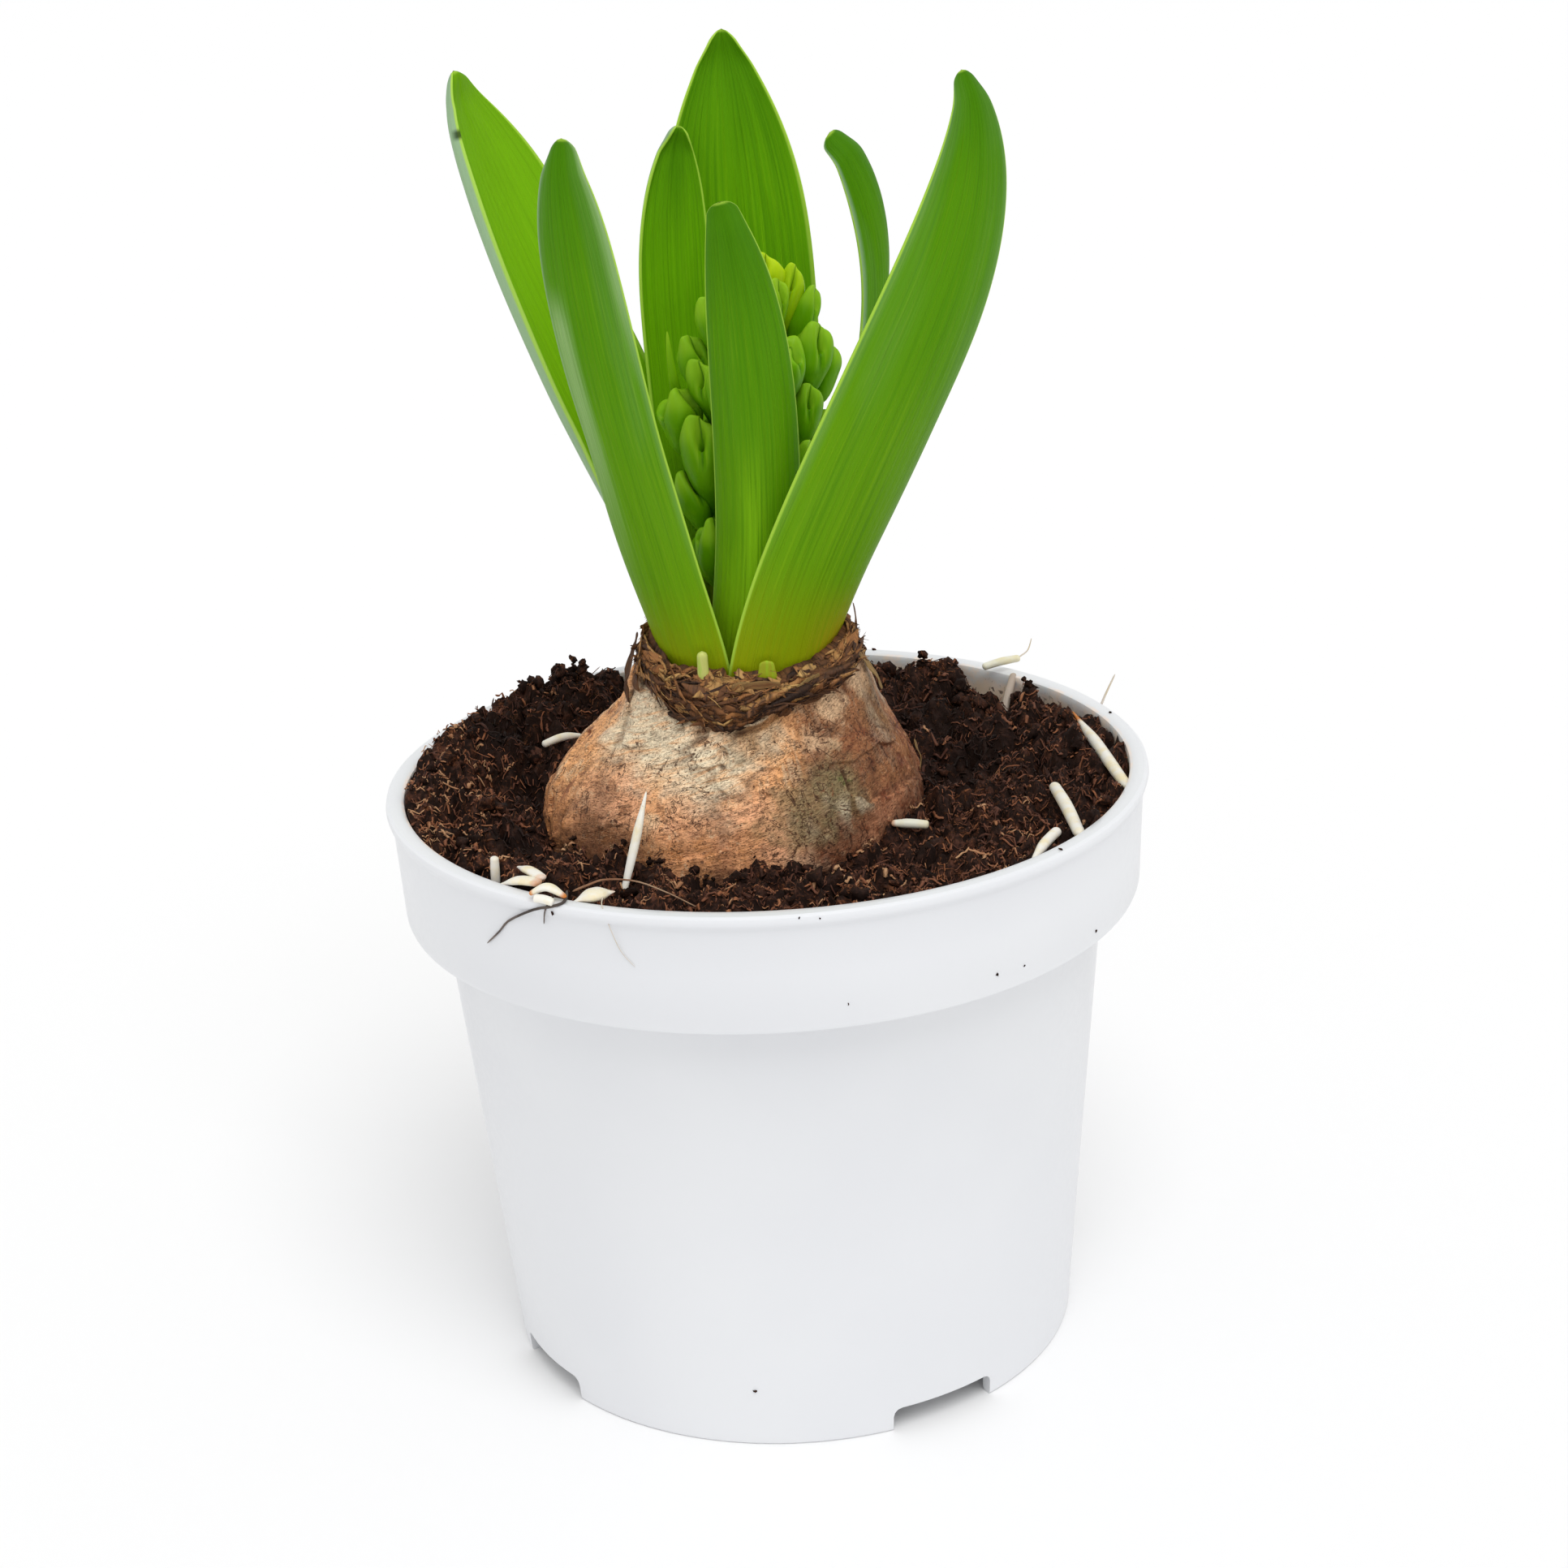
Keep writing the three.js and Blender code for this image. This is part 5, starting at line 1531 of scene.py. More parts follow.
class HYACINTH_OT_collar(bpy.types.Operator):
    """Build the torn collar of dry scales: ragged sleeves, flakes and threads"""
    bl_idname = "hyacinth.collar"
    bl_label = "Collar"

    # The radius that lengths along the band are wrapped round
    wrap_radius = 16.5

    def execute(self, context):
        look = context.scene.hyacinth_collar
        finish = scale_finish(look)
        collar = Collar()
        for layer in range(4):
            dress(self.sleeve(collar, layer), finish, "dry_scale", "neck_scales")
        dress(self.flakes(collar, look.flakes), finish, "dry_scale")
        kinds = [
            ("collar_strips", look.strips, 29, (3, 10), (0.3, 0.95), 0.3, 2.2),
            ("collar_threads", look.threads, 23, (1.5, 8), (0.07, 0.22), 0.6, 2.6),
        ]
        for kind in kinds:
            dress(self.strips(collar, *kind), finish, "dry_scale")
        for number, flap in enumerate(self.flaps, 1):
            dress(self.flap(number, *flap), finish, "dry_scale")
        return {"FINISHED"}

    def sleeve(self, collar, layer):
        """One torn scale right round the neck: up its outer face, over its edge and down."""
        sleeve, angle, loop = wrapped(f"collar_sleeve_{layer + 1}", 280, 24)
        up = 1 - np.abs(2 * loop - 1)
        inside = smooth((loop - 0.46) / 0.08)
        around = on_neck(angle, 9.0 * layer)
        torn = noise(around, 2.4, 71) + 0.7 * noise(around, 0.9, 72)
        foot = -0.25 + 0.16 * layer + 0.1 * noise(around, 3.1, 75)
        top = 0.42 + 0.2 * layer + 0.13 * torn
        share = mix(foot, top, up)
        around = on_neck(angle, 9.0 * layer + share * 9)
        rough = 0.55 * noise(around, 2.1, 73) + 0.45 * noise(around, 0.8, 74)
        out = 0.7 - 0.25 * layer + rough * (1 - inside) - 1.3 * inside
        points = collar.place(angle, share, out)
        ends = at_end(loop)
        points[ends] = collar.place(angle, foot, -1.2)[ends]
        place_points(sleeve, points)
        give(sleeve, "grain", round_about(angle, 1, points[:, 2] / 10))
        give(sleeve, "age", 0.08 + 0.05 * layer + 0.12 * up + 0.3 * rough)
        return close_up(sleeve)

    def flakes(self, collar, count):
        """Small torn tongues, from one pattern, laid along the band every way."""
        clear_selection()
        bpy.ops.mesh.primitive_grid_add(x_subdivisions=3, y_subdivisions=5, size=2)
        leaflet = named("flake_pattern")
        modify(leaflet, "SOLIDIFY", thickness=0.2, offset=0)
        flat, faces = pattern(leaflet)
        across, t, depth = flat[:, 0], (flat[:, 1] + 1) / 2, flat[:, 2] / 0.2
        source = np.random.default_rng(19)
        scales = []
        for i in range(count):
            angle = TURN * source.random()
            share = mix(-0.1, 0.95, source.random())
            band = max(collar.height(angle, 1) - collar.height(angle, 0), 3)
            length = mix(1.6, 5.5, source.random() ** 1.6)
            width = mix(0.5, 1.9, source.random() ** 1.5)
            heading = source.normal() * 0.5 + (math.pi if source.random() < 0.5 else 0)
            heading += 0.55 * math.cos(angle) * (1 if math.cos(heading) > 0 else -1)
            ragged = 0.5 * noise(columns(across * 2 + i, t * 3, 0.0), 0.8, 5)
            side = across * width / 2 * (1 - 0.7 * np.abs(2 * t - 0.8) ** 1.8) * (1 + ragged)
            ahead = (t - 0.5) * length * (1 + 0.15 * ragged)
            arc, rise = rotated(ahead, side, heading)
            curl = mix(-0.1, 1.9, source.random() ** 2.5)
            crumple = noise(columns(across * 1.6, t * 4, float(i)), 1, 9)
            out = 0.75 + 0.45 * source.random() + curl * t ** 2 + 0.25 * crumple + 0.22 * depth
            turn = angle + arc / self.wrap_radius
            points = collar.place(turn, share + rise / band, out)
            grain = round_about(turn, 1, points[:, 2] / 10 + i)
            scales.append((points, grain, self.age(source, angle, share)))
        return self.gather("collar_flakes", faces, scales)

    def gather(self, name, faces, scales):
        """One piece from many scales, each with its points, its grain and its age."""
        copies, grains, ages = zip(*scales)
        piece = gathered(name, faces, copies)
        give(piece, "grain", np.vstack(grains))
        give(piece, "age", np.repeat(ages, len(copies[0])))
        return piece

    def age(self, source, angle, share):
        """How dry and pale a scale is: most of all against the leaves, in front and right."""
        draw = source.random()
        share = np.clip(share, 0, 1)
        beside = smooth((share - 0.4) / 0.3) * smooth((math.cos(angle + 1.2) - 0.4) / 0.4)
        dry = 0.1 + 0.2 * share + 0.25 * beside + 0.15 * (math.cos(angle) < -0.5)
        return mix(0.65, 1.05, draw / dry) if draw < dry else 0.55 * (draw - dry) / (1 - dry)

    def strips(self, collar, name, count, seed, length, radius, flatness, stray):
        """Torn strips or fibres that flow along the band, with their ends standing out."""
        rod, faces = strand_pattern(4, 7)
        taper = 1 - 0.6 * np.abs(2 * rod[:, 2] - 0.9) ** 2
        source = np.random.default_rng(seed)
        scales = []
        for _ in range(count):
            angle = TURN * source.random()
            share = mix(-0.08, 1.0, source.random())
            long = mix(*length, source.random() ** 1.6)
            climb = source.normal() * 0.05
            steps = np.linspace(-0.5, 0.5, 5)
            turn = angle + long * steps / self.wrap_radius
            along = share + climb * long * steps + 0.05 * source.normal(size=5)
            lift = mix(0, stray, source.random() ** 3) * (steps + 0.5) ** 2
            out = 0.8 + lift + 0.5 * source.random(5)
            path = collar.place(turn, along, out)
            thick = mix(*radius, source.random() ** 1.5)
            tilt = round_about(angle, 1, source.normal() * 0.5)
            points = strand(rod, path, thick * taper, flatness, unit(tilt))
            grain = points * (0.05, 0.05, 0.2)
            scales.append((points, grain, self.age(source, angle, share)))
        return self.gather(name, faces, scales)

    # Single scales that stand off the shoulder: course, half width and freshness
    flaps = [
        ([(-20.9, -2.6, 107.6), (-20.9, -4, 112), (-19.7, -4.6, 116.5), (-18.6, -5.2, 120)],
         1.3, 0.3),
        ([(-19.4, -6.6, 111.5), (-19.1, -7.4, 115), (-18, -7.4, 118.6)], 1.5, 0.62),
        ([(14.4, -7.4, 117), (15.9, -5.6, 114), (17.6, -4.4, 111), (18.6, -4, 108.4)], 1.1, 1.0),
        ([(14, -3.6, 116), (15, -2.8, 119), (14.6, -2.6, 122)], 1.2, 0.42),
        ([(23.6, -0.6, 98.4), (24.2, -1.6, 96.4), (24.2, -3.4, 94.2)], 1.0, 1.0),
        ([(-4.4, -18.6, 114.4), (-1, -19, 115.2), (3, -19, 115)], 0.9, 0.8),
        ([(3.4, -18.4, 112.6), (6.4, -18, 114.4), (9.6, -15.4, 115.4)], 0.9, 0.9),
    ]

    def flap(self, number, course, width, fresh):
        rod, faces = strand_pattern(14, 24)
        middle = np.array(course[len(course) // 2], float)
        outward = unit(middle * (1, 1, 0) + (2, 0, 3))
        ragged = 1 + 0.3 * noise(rod * (2, 2, 7) + number, 1, 31)
        points = strand(rod, course, width * ragged * (1 - 0.55 * rod[:, 2]), 0.16, outward)
        points += 0.25 * wander(points, 1.6, 33)
        flap = gathered(f"collar_flap_{number}", faces, [points])
        give(flap, "grain", rod + number * UP)
        give(flap, "age", np.full(len(rod), fresh) + 0.25 * np.abs(rod[:, 0]))
        return flap


class HYACINTH_OT_shoots(bpy.types.Operator):
    """Round the two pale stubs that stand in the neck"""
    bl_idname = "hyacinth.shoots"
    bl_label = "Shoots"

    # Each stub: its node's last word, its place, top, width and depth, and how it tapers
    stubs = [("left", -8.7, -14.9, 119.9, 1.8, 1.5, 0.1),
             ("front", 0.9, -16.5, 118.4, 4.2, 1.1, 0.5)]

    def execute(self, context):
        finish = shoot_finish(context.scene.hyacinth_leaves)
        for name, x, y, top, width, depth, taper in self.stubs:
            stub, angle, t = wrapped(f"pale_stub_{name}", 28, 24)
            full = np.sqrt(1 - np.clip((t - 0.89) / 0.11, 0, 1) ** 2) * (1 - taper * t)
            full = np.where(at_end(t), 0, full * np.minimum(1, 5 * t))
            full *= 1 + 0.06 * noise(round_about(angle, 1, t * 4), 0.8)
            across = round_about(angle, full / 2) * (width, depth) + (x, y)
            place_points(stub, columns(across[:, 0], across[:, 1] - 0.8 * t, mix(111.4, top, t)))
            dress(close_up(stub), finish, "shoot", f"neck_shoot_{name}")
        return {"FINISHED"}


# Leaves

def bezier(knots, t):
    a, b, c, d = (np.array(knot, float) for knot in knots)
    t = t[:, None]
    s = 1 - t
    point = s ** 3 * a + 3 * s * s * t * b + 3 * s * t * t * c + t ** 3 * d
    slope = 3 * s * s * (b - a) + 6 * s * t * (c - b) + 3 * t * t * (d - c)
    return point, unit(slope)


def blade_turn(u, bend, rolls, start):
    """How far a blade's cross-section has turned at u across it, with its margins rolled."""
    roll = np.where(u < 0, -rolls[0], rolls[1])
    return bend * u + roll * smooth((np.abs(u) - start) / (1 - start))


def blade_points(leaf, number, flat, ribs):
    """A grid wrapped into a leaf: its places, and each one's across and along, side and roll."""
    _, ring, facing, knee, crook, tip, widths, widest, bluntness, cup_to, tip_width = leaf[:11]
    hood, (roll_low, roll_high, roll_from) = leaf[11:]
    root = round_about(math.radians(facing[0]), ring, 102.5) - (1.5, 0, 0)
    knots = (root, knee, crook, tip)
    shares = np.linspace(0, 0.2, 50)
    foot = shares[np.argmax(bezier(knots, shares)[0][:, 2] > 104.5)]
    around = math.pi * flat[:, 0]
    row = (flat[:, 1] + 1) / 2
    capped = np.clip((row - 0.008) / 0.992, 0, 1)
    t = foot + (1 - foot) * (1 - (1 - capped) ** 1.25)
    point, tangent = bezier(knots, t)
    turned_share = smooth(t / 0.45)
    tip_share = smooth((t - 0.5) / 0.5)
    face = mix(facing[0], facing[1], turned_share) + (facing[2] - facing[1]) * tip_share
    outward = round_about(np.radians(face), 1, 0.0)
    outward = unit(outward - (outward * tangent).sum(axis=1)[:, None] * tangent)
    across = np.cross(outward, tangent)
    past = np.clip((t - widest) / (1 - widest), 0, 1)
    grown = mix(widths[0], widths[1], smooth(t / widest))
    width = np.where(t < widest, grown, widths[1] * (1 - past ** bluntness))
    width = width + tip_width * past ** 5
    round_end = np.sqrt(1 - np.clip((t - 0.983) / 0.017, 0, 1) ** 2)
    width = width * round_end
    cup = mix(ring, cup_to, smooth(t / 0.4))
    thick = mix(mix(1.8, 1.7, smooth(t / 0.3)), 1.4, smooth((t - 0.6) / 0.4))
    u = np.sin(around)
    side = np.sign(np.cos(around)) * np.abs(np.cos(around)) ** 0.55
    half = thick / 2 * (1 - 0.36 * u * u) * round_end
    half = half * (1 + 0.05 * np.cos(u * ribs * math.pi) * (1 - u ** 4))
    # A shallow channel down the inside, and a wave along the edges
    half = half - 0.18 * hump(u, 0, 0.12) * (side < 0) * round_end
    wave = 0.35 * u * u * noise(columns(u + 5 * number, t * 9, 0.0), 1.5, number)
    nod = smooth((t - 0.93) / 0.07) ** 2
    width, half = width * (row >= 0.004), half * (row >= 0.004)
    bend = np.minimum(width / 2 / cup, 1.9) + hood * smooth((t - 0.945) / 0.045)
    fade = smooth((t - roll_from) / 0.25)
    rolls = np.array([roll_low * fade, roll_high * fade])
    start = 1 - np.clip(0.3 * widths[1] / np.maximum(width, 0.1), 0.3, 0.65)
    turn = blade_turn(u, bend, rolls, start)
    rolled = np.abs(blade_turn(u, 0, rolls, start))
    # The blade's turns from its middle out to u, which carry the point across and out
    steps = (np.arange(24) + 0.5) / 24
    inner = blade_turn(u[:, None] * steps, bend[:, None], rolls[..., None], start[:, None])
    over = u * width / 2 * np.cos(inner).mean(axis=1) + side * half * np.sin(turn)
    out = side * half * np.cos(turn) - u * width / 2 * np.sin(inner).mean(axis=1)
    place = point + across * over[:, None] + outward * (out + wave - nod)[:, None]
    return place, columns(u, t, number / len(LEAVES)), side, rolled


class HYACINTH_OT_leaves(bpy.types.Operator):
    """Bend and cup the seven fleshy leaves along their spines"""
    bl_idname = "hyacinth.leaves"
    bl_label = "Leaves"

    def execute(self, context):
        look = context.scene.hyacinth_leaves
        finish = leaf_finish(look)
        for number, leaf in enumerate(LEAVES):
            blade = grid(leaf[0].replace("leaf_", "blade_"), 104, 120)
            place, *fields = blade_points(leaf, number, points_of(blade), look.ribs)
            place_points(blade, place)
            for name, field in zip(("blade", "side", "rolled"), fields):
                give(blade, name, field)
            dress(close_up(blade), finish, "leaf", leaf[0])
        return {"FINISHED"}


# Flower spike

def lobes(angle):
    """0 in the middle of each of three outer tepals, 1 at the seams between them."""
    return np.abs((angle * 3 / TURN + 0.5) % 1 - 0.5) * 2


def bud_pattern():
    """One closed bud of radius and length 1: three blunt outer tepals over three inner ones."""
    bud, angle, share = wrapped("bud_pattern", 60, 30)
    outline = [(0, 0), (0.2, 0.005), (0.27, 0.07), (0.42, 0.2), (0.64, 0.36), (0.85, 0.52),
               (0.98, 0.68), (0.99, 0.8), (0.9, 0.89), (0.72, 0.96), (0.48, 0.99), (0.24, 0.965),
               (0, 0.93)]
    profile = curve_through(outline, share)
    radius, z = np.maximum(profile[:, 0], 0), profile[:, 1]
    lobe = lobes(angle)
    seam = hump(lobe, 1, 0.2)
    open_top = smooth((z - 0.55) / 0.4) * smooth((share - 0.25) / 0.1)
    outside = smooth((radius - 0.3) / 0.35)
    depth = outside * (0.03 + 0.36 * open_top)
    radius = radius * (1 - depth * seam - 0.1 * lobe ** 2 * open_top)
    crown = smooth((share - 0.52) / 0.25) * outside
    z = z - crown * (0.26 * lobe ** 2 + 0.13 * seam)
    z = z + 0.1 * np.cos(angle - 0.5) * smooth((share - 0.5) / 0.3)
    points = round_about(angle, radius, z)
    ends = at_end(share)
    points[ends] = columns(0.0, 0.0, profile[:, 1])[ends]
    place_points(bud, points, 1)
    shape, faces = pattern(close_up(bud, 0.0005))
    lobe = lobes(np.arctan2(shape[:, 1], shape[:, 0]))
    high = smooth((shape[:, 2] - 0.42) / 0.4)
    # With the shape, the seams that get painted shade and the strips beside them that get painted
    # highlight
    return shape, faces, (hump(lobe, 1, 0.13) - 0.8 * hump(lobe, 0.78, 0.09)) * high


def spike_axis(z):
    return np.interp(z, *zip(*SPIKE_AXIS))


def bud_place(shape, i):
    """The i-th bud's points: it springs from the stalk and stands up along the spike."""
    share = (i + 0.5) / BUD_COUNT
    height = mix(114, 162.5, share)
    length = mix(14, 9.5, share ** 3) * (0.92 + 0.16 * drawn(i, 13))
    radius = 3.4 * mix(1, 0.82, share ** 3) * (0.94 + 0.12 * drawn(i, 14))
    lean = math.radians(mix(13, 6, share) + 6 * (drawn(i, 15) - 0.5))
    widest = 0.74 * length
    outer = np.interp(height + widest, *zip(*SPIKE_OUTER))
    reach = max(outer - radius - widest * math.sin(lean), 0.2)
    x, y = rotated(*shape[:, :2].T * radius, TURN * drawn(i, 16))
    # The foot bends in to the stalk
    x = x - 2.2 * (1 - smooth(shape[:, 2] / 0.45))
    tall, out = rotated(shape[:, 2] * length, x, lean)
    x, y = rotated(out + reach, y, 5.6 + i * GOLDEN_ANGLE)
    return columns(x + spike_axis(height + widest), y, tall + height)


def seen_bud(shape, bud):
    """A bud's points between a given foot and tip, and its middle."""
    *ends, radius, spin = bud
    tip, foot = np.array(ends, float)
    along = tip - foot
    axis = unit(along)
    side = unit(np.cross(axis, (0.1, 1, 0)))
    over = np.cross(axis, side)
    x, y = rotated(*shape[:, :2].T, math.radians(spin))
    place = foot + radius * (x[:, None] * side + y[:, None] * over) + shape[:, 2:] * along
    # The foot bends in to the stalk
    bend = 1 - smooth(shape[:, 2] / 0.4)
    inward = np.array([spike_axis(foot[2]), 0, foot[2]]) - foot
    return place + 0.3 * bend[:, None] * inward, (tip + foot) / 2


class HYACINTH_OT_spike(bpy.types.Operator):
    """Set the spike of closed buds round its stalk"""
    bl_idname = "hyacinth.spike"
    bl_label = "Flower spike"

    # How far apart the middles of two buds are at least, and the course of the bract
    spacing = 5
    sliver = [(-9.4, -1.6, 150), (-10.4, -3, 157), (-10.9, -3.6, 162), (-11.1, -3.5, 166)]

    def execute(self, context):
        finish = bud_finish(context.scene.hyacinth_spike)
        shape, faces, seam_shading = bud_pattern()
        seen = [seen_bud(shape, bud) for bud in SEEN_BUDS]
        copies, middles = map(list, zip(*seen))
        for i in range(BUD_COUNT):
            place = bud_place(shape, i)
            middle = (place.max(axis=0) + place.min(axis=0)) / 2
            if np.linalg.norm(middle - np.array(middles), axis=1).min() > self.spacing:
                copies.append(place)
                middles.append(middle)
        kept = []
        for place in copies:
            youth = 0.8 * smooth((place[:, 2].max() - 172) / 5)
            place += 0.3 * wander(place, 3.2, 81)
            kept.append(columns(shape[:, 2], youth, seam_shading))
        buds = gathered("flower_buds", faces, copies)
        give(buds, "bud", np.vstack(kept))
        dress(buds, finish, "bud", "flower_spike")
        rod, faces = strand_pattern(12, 24)
        taper = 0.95 * (1 - 0.85 * rod[:, 2] ** 1.5)
        points = strand(rod, self.sliver, taper, 0.3, np.array([0.2, -1, 0]))
        bract = gathered("flower_bract", faces, [points])
        # The bract grows paler towards its tip in the colour of the buds' tips and highlights
        give(bract, "bud", columns(rod[:, 2], 0.1, -0.5 * rod[:, 2]))
        dress(bract, finish, "bud")
        dress(self.stalk(), finish, "bud")
        return {"FINISHED"}

    def stalk(self):
        """The ribbed stalk inside the spike."""
        stalk, angle, t = wrapped("flower_stalk", 40, 60)
        z = mix(104.5, 169.5, t)
        radius = np.interp(z, [104.5, 120, 150, 162, 169.5], [4.4, 4.5, 5.2, 4, 1.5])
        radius = np.where(at_end(t), 0, radius * (1 + 0.05 * np.cos(6 * angle + 0.1 * z)))
        points = round_about(angle, radius, z)
        points[:, 0] += spike_axis(z)
        place_points(stalk, points)
        # The stalk takes the buds' painted shade
        give(stalk, "bud", np.tile((0.3, 0, 0.6), (len(t), 1)))
        return close_up(stalk)


# Loose roots and hairs

class HYACINTH_OT_root_bits(bpy.types.Operator):
    """Lay the broken pieces of root in their places"""
    bl_idname = "hyacinth.root_bits"
    bl_label = "Pieces of root"

    # By a piece's number: how much its ends taper, how flat it is, rust, green and grey
    pointed = {3: (0.8, 0.1), 5: (0.5, 0), 6: (0.3, 0.1), 7: (0.1, 0.45), 8: (0.3, 0.7),
               10: (0.8, 0.1), 11: (0.7, 0.1), 12: (0.35, 0.45), 13: (0.9, 0.85)}
    flat = {10: 0.5, 11: 0.6, 12: 0.6, 13: 0.45}
    rusty_start = {3: 1.2, 6: 0.6, 12: 0.7}
    rusty_end = {10: 0.6, 11: 0.5, 12: 0.8, 13: 0.5}
    green = {6: 0.35, 1: 0.35}
    grey = {2: 0.9, 9: 0.25}

    def execute(self, context):
        finish = root_finish(context.scene.hyacinth_roots)
        rod, faces = strand_pattern(18, 30)
        share = rod[:, 2]
        for number, (start, end, thick, bow) in enumerate(ROOT_BITS, 1):
            first, last = self.pointed.get(number, (0.1, 0.1))
            ends = 1 - first * smooth(1 - share / 0.45) - last * smooth((share - 0.6) / 0.4)
            path = bit_path(start, end, bow)
            points = strand(rod, path, thick * 0.88 * ends, self.flat.get(number, 0.9))
            piece = gathered(f"root_piece_{number:02d}", faces, [points])
            rust = self.rusty_start.get(number, 0) * smooth((0.24 - share) / 0.2)
            rust = rust + self.rusty_end.get(number, 0) * smooth((share - 0.72) / 0.26)
            give(piece, "tint", columns(rust, self.green.get(number, 0.0),
                                        self.grey.get(number, 0.0)))
            node = f"root_bit_{number:02d}"
            dress(piece, finish, "root", *[node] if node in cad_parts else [])
        return {"FINISHED"}


class HYACINTH_OT_hairs(bpy.types.Operator):
    """Draw the fine hairs that hang over the rim and stand out of the soil"""
    bl_idname = "hyacinth.hairs"
    bl_label = "Hairs"

    # Each hair: its course in millimetres and its radius
    over_rim = [
        ([(-29.4, -47.6, 95.6), (-29.7, -50.9, 95.3), (-31.5, -51.1, 94.7), (-34.3, -49.3, 93.6),
          (-38.3, -45.2, 90.4), (-40, -43.6, 88.1), (-42.2, -41.3, 85.3)], 0.26),
        ([(-31, -47.6, 96), (-31.4, -49.1, 95.3), (-32.5, -50.6, 94.1), (-33, -49.3, 91.3)],
         0.18),
    ]
    grey = [
        ([(-24.2, -50, 95.3), (-24.3, -53.1, 95.3), (-23.4, -54.9, 92.9), (-22, -55, 88.9),
          (-20.1, -55.5, 86.5)], 0.1),
        ([(55.2, 21.6, 93), (56.4, 22.4, 95.6), (58.4, 24, 98.9)], 0.26),
        ([(44.2, 41, 97.1), (45.8, 42.6, 97.7), (46.6, 43.5, 99.5)], 0.16),
    ]
    on_soil = [
        ([(-28.7, -47.2, 95.2), (-26.5, -47.1, 96), (-24, -46.6, 96.5), (-19.6, -46.4, 95.9),
          (-15.2, -48.8, 94.9), (-11.1, -49.5, 92.7)], 0.2),
    ]

    def execute(self, context):
        look = context.scene.hyacinth_roots
        soil = context.scene.hyacinth_soil
        rod, faces = strand_pattern(6, 26)
        rim = fibre_finish(soil, "rim_hairs", look.hair_dark, srgb(120, 108, 100))
        brown = fibre_finish(soil, "soil_hairs", look.hair_brown, srgb(170, 140, 112))
        groups = [("rim_hairs", self.over_rim, rim),
                  ("grey_hairs", self.grey, root_finish(look, "grey_hairs")),
                  ("soil_hairs", self.on_soil, brown)]
        for name, hairs, finish in groups:
            copies = [strand(rod, path, radius * (1 - 0.5 * rod[:, 2])) for path, radius in hairs]
            piece = gathered(name, faces, copies)
            if hairs is self.grey:
                give(piece, "tint", np.tile((0, 0, 0.55), (len(copies) * len(rod), 1)))
            dress(piece, finish, "root")
        return {"FINISHED"}


# Stage

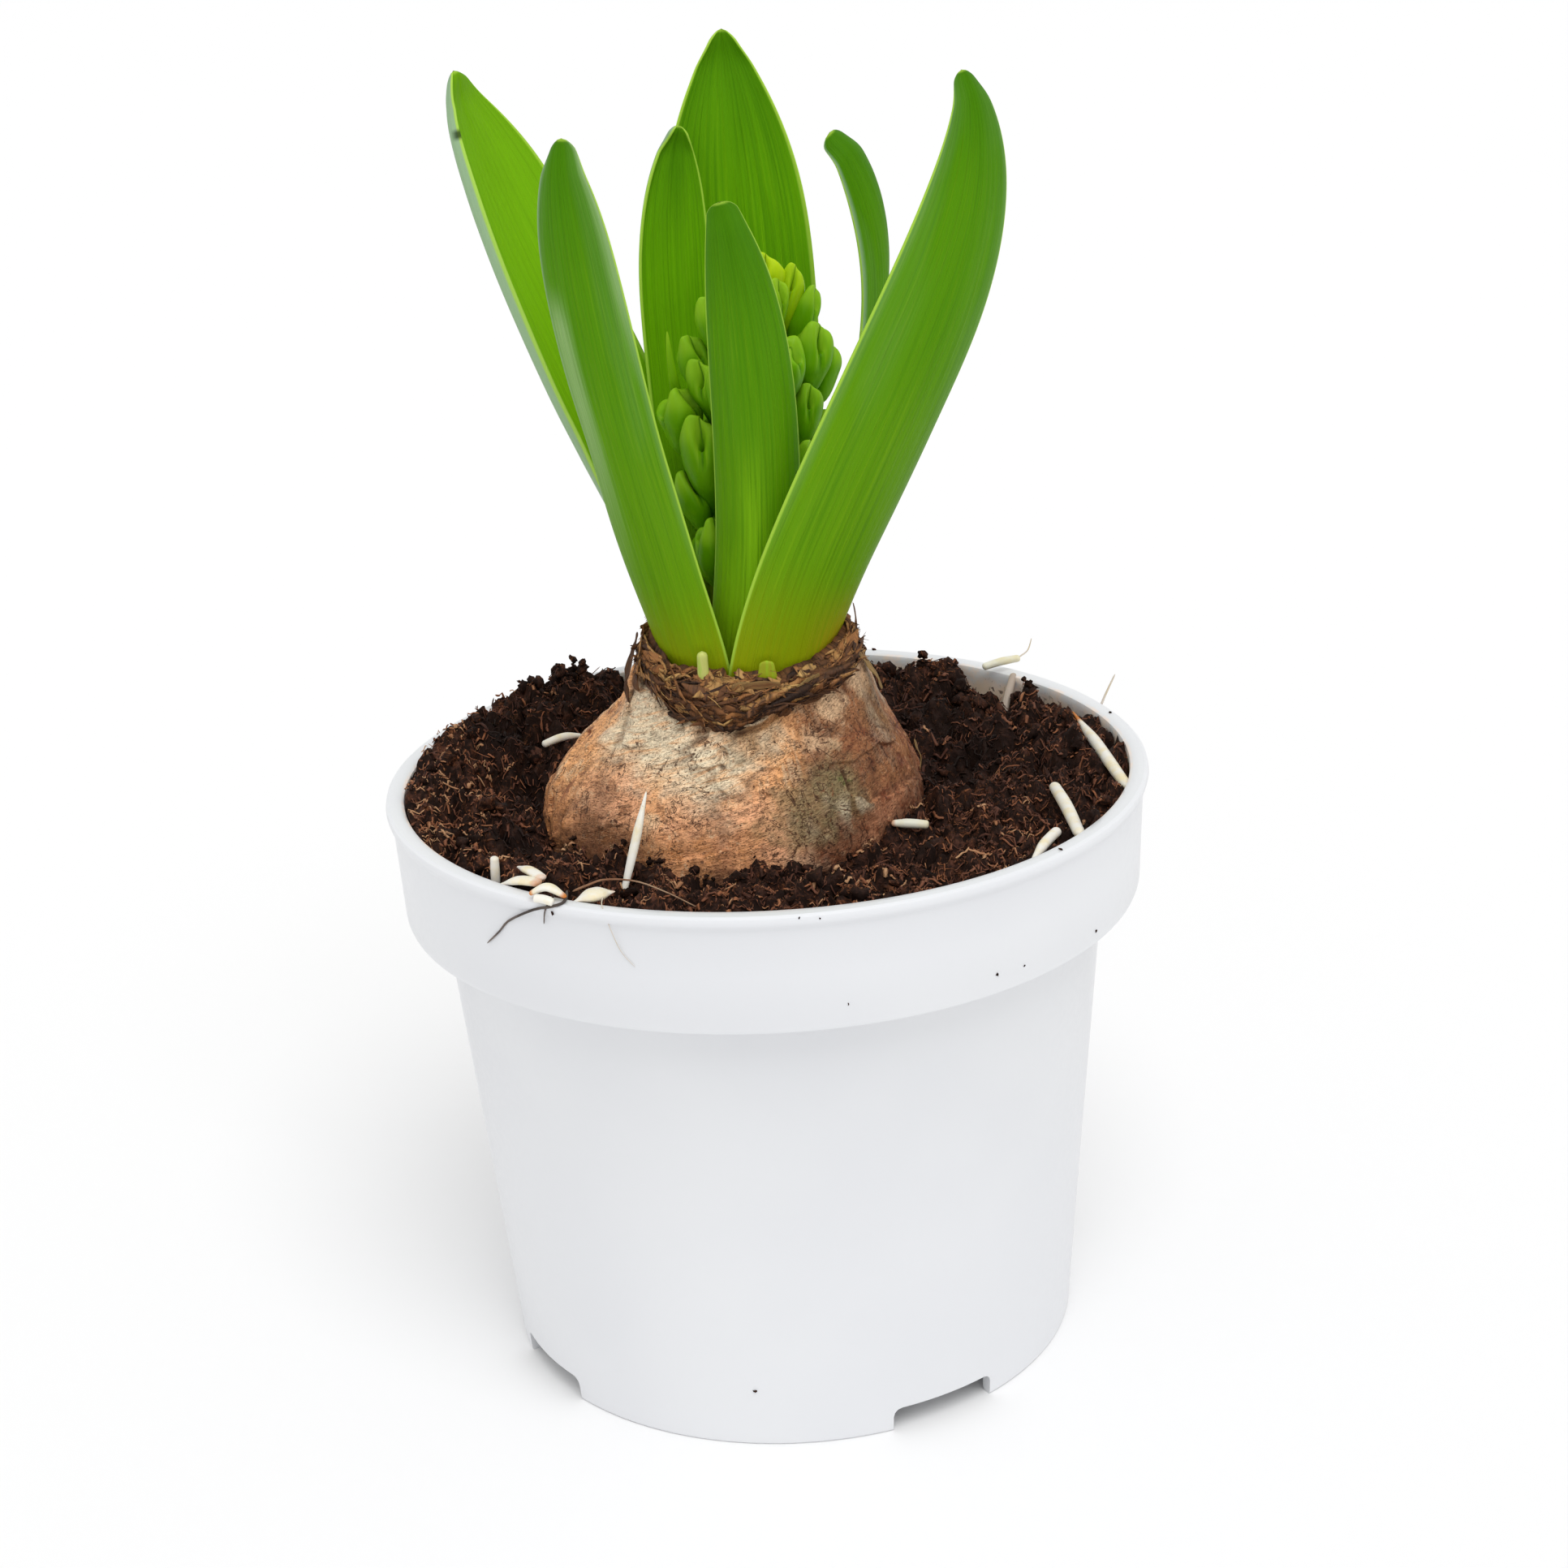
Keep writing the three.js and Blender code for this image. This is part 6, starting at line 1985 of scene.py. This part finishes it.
class HYACINTH_OT_stage(bpy.types.Operator):
    """Set the pale floor, the soft light and the camera"""
    bl_idname = "hyacinth.stage"
    bl_label = "Stage"

    def execute(self, context):
        look = context.scene.hyacinth_stage
        scene = context.scene
        clear_selection()
        bpy.ops.mesh.primitive_plane_add(size=40)
        floor = named("floor")
        floor.data.materials.append(floor_finish(look))

        world = bpy.data.worlds.new("even_light")
        world.use_nodes = True
        background = world.node_tree.nodes["Background"]
        background.inputs["Color"].default_value = (1, 1, 1, 1)
        background.inputs["Strength"].default_value = look.sky
        scene.world = world
        self.key_light(look.sun)

        scene.view_settings.view_transform = "Standard"
        scene.view_settings.look = "None"
        self.camera(look.lens)
        return {"FINISHED"}

    def key_light(self, strength):
        """A broad soft light from above, in front and a little to the right."""
        clear_selection()
        bpy.ops.object.light_add(type="SUN", location=(-0.6, -0.7, 1))
        light = bpy.context.object
        light.name = "key_light"
        light.data.energy = strength
        light.data.angle = math.radians(35)
        light.rotation_euler = Vector((0.15, -0.6, 1)).to_track_quat("Z", "Y").to_euler()

    def camera(self, lens):
        """The photograph's viewpoint: in front, looking down at the rim, slightly turned."""
        clear_selection()
        bpy.ops.object.camera_add()
        camera = bpy.context.object
        camera.name = "photo_camera"
        camera.data.lens = lens
        camera.data.sensor_width = 36
        camera.data.sensor_fit = "HORIZONTAL"
        camera.data.clip_start = 0.01
        camera.data.clip_end = 100
        ahead = Vector((math.sin(YAW) * math.cos(PITCH), math.cos(YAW) * math.cos(PITCH),
                        -math.sin(PITCH)))
        level = Vector((math.cos(YAW), -math.sin(YAW), 0))
        right, top = rotated(level, level.cross(ahead), -ROLL)
        matrix = Matrix((right, top, -ahead)).transposed().to_4x4()
        matrix.translation = EYE
        camera.matrix_world = matrix
        bpy.context.scene.camera = camera


LOOKS = {
    "hyacinth_pot": PotLook, "hyacinth_soil": SoilLook, "hyacinth_bulb": BulbLook,
    "hyacinth_collar": CollarLook, "hyacinth_leaves": LeafLook, "hyacinth_spike": SpikeLook,
    "hyacinth_roots": RootLook, "hyacinth_stage": StageLook,
}
STEPS = [
    HYACINTH_OT_stage, HYACINTH_OT_pot, HYACINTH_OT_soil, HYACINTH_OT_crumbs,
    HYACINTH_OT_shreds, HYACINTH_OT_bulb, HYACINTH_OT_roots, HYACINTH_OT_collar,
    HYACINTH_OT_shoots, HYACINTH_OT_leaves, HYACINTH_OT_spike, HYACINTH_OT_root_bits,
    HYACINTH_OT_hairs,
]


class HYACINTH_PT_panel(bpy.types.Panel):
    """Steps that dress the plant, with their sizes and colours"""
    bl_idname = "HYACINTH_PT_panel"
    bl_label = "Potted hyacinth"
    bl_space_type = "VIEW_3D"
    bl_region_type = "UI"
    bl_category = "Hyacinth"

    def draw(self, context):
        for step in STEPS:
            self.layout.operator(step.bl_idname)
        for name, group in LOOKS.items():
            box = self.layout.box()
            box.label(text=name.replace("hyacinth_", "").title())
            for key in group.__annotations__:
                box.prop(getattr(context.scene, name), key)


def register():
    for group in [*LOOKS.values(), *STEPS, HYACINTH_PT_panel]:
        bpy.utils.register_class(group)
    for name, group in LOOKS.items():
        setattr(bpy.types.Scene, name, bpy.props.PointerProperty(type=group))


def unregister():
    for name in LOOKS:
        delattr(bpy.types.Scene, name)
    for group in reversed([*LOOKS.values(), *STEPS, HYACINTH_PT_panel]):
        bpy.utils.unregister_class(group)


def main():
    register()
    for step in STEPS:
        area, name = step.bl_idname.split(".")
        getattr(getattr(bpy.ops, area), name)()


if __name__ == "__main__":
    main()
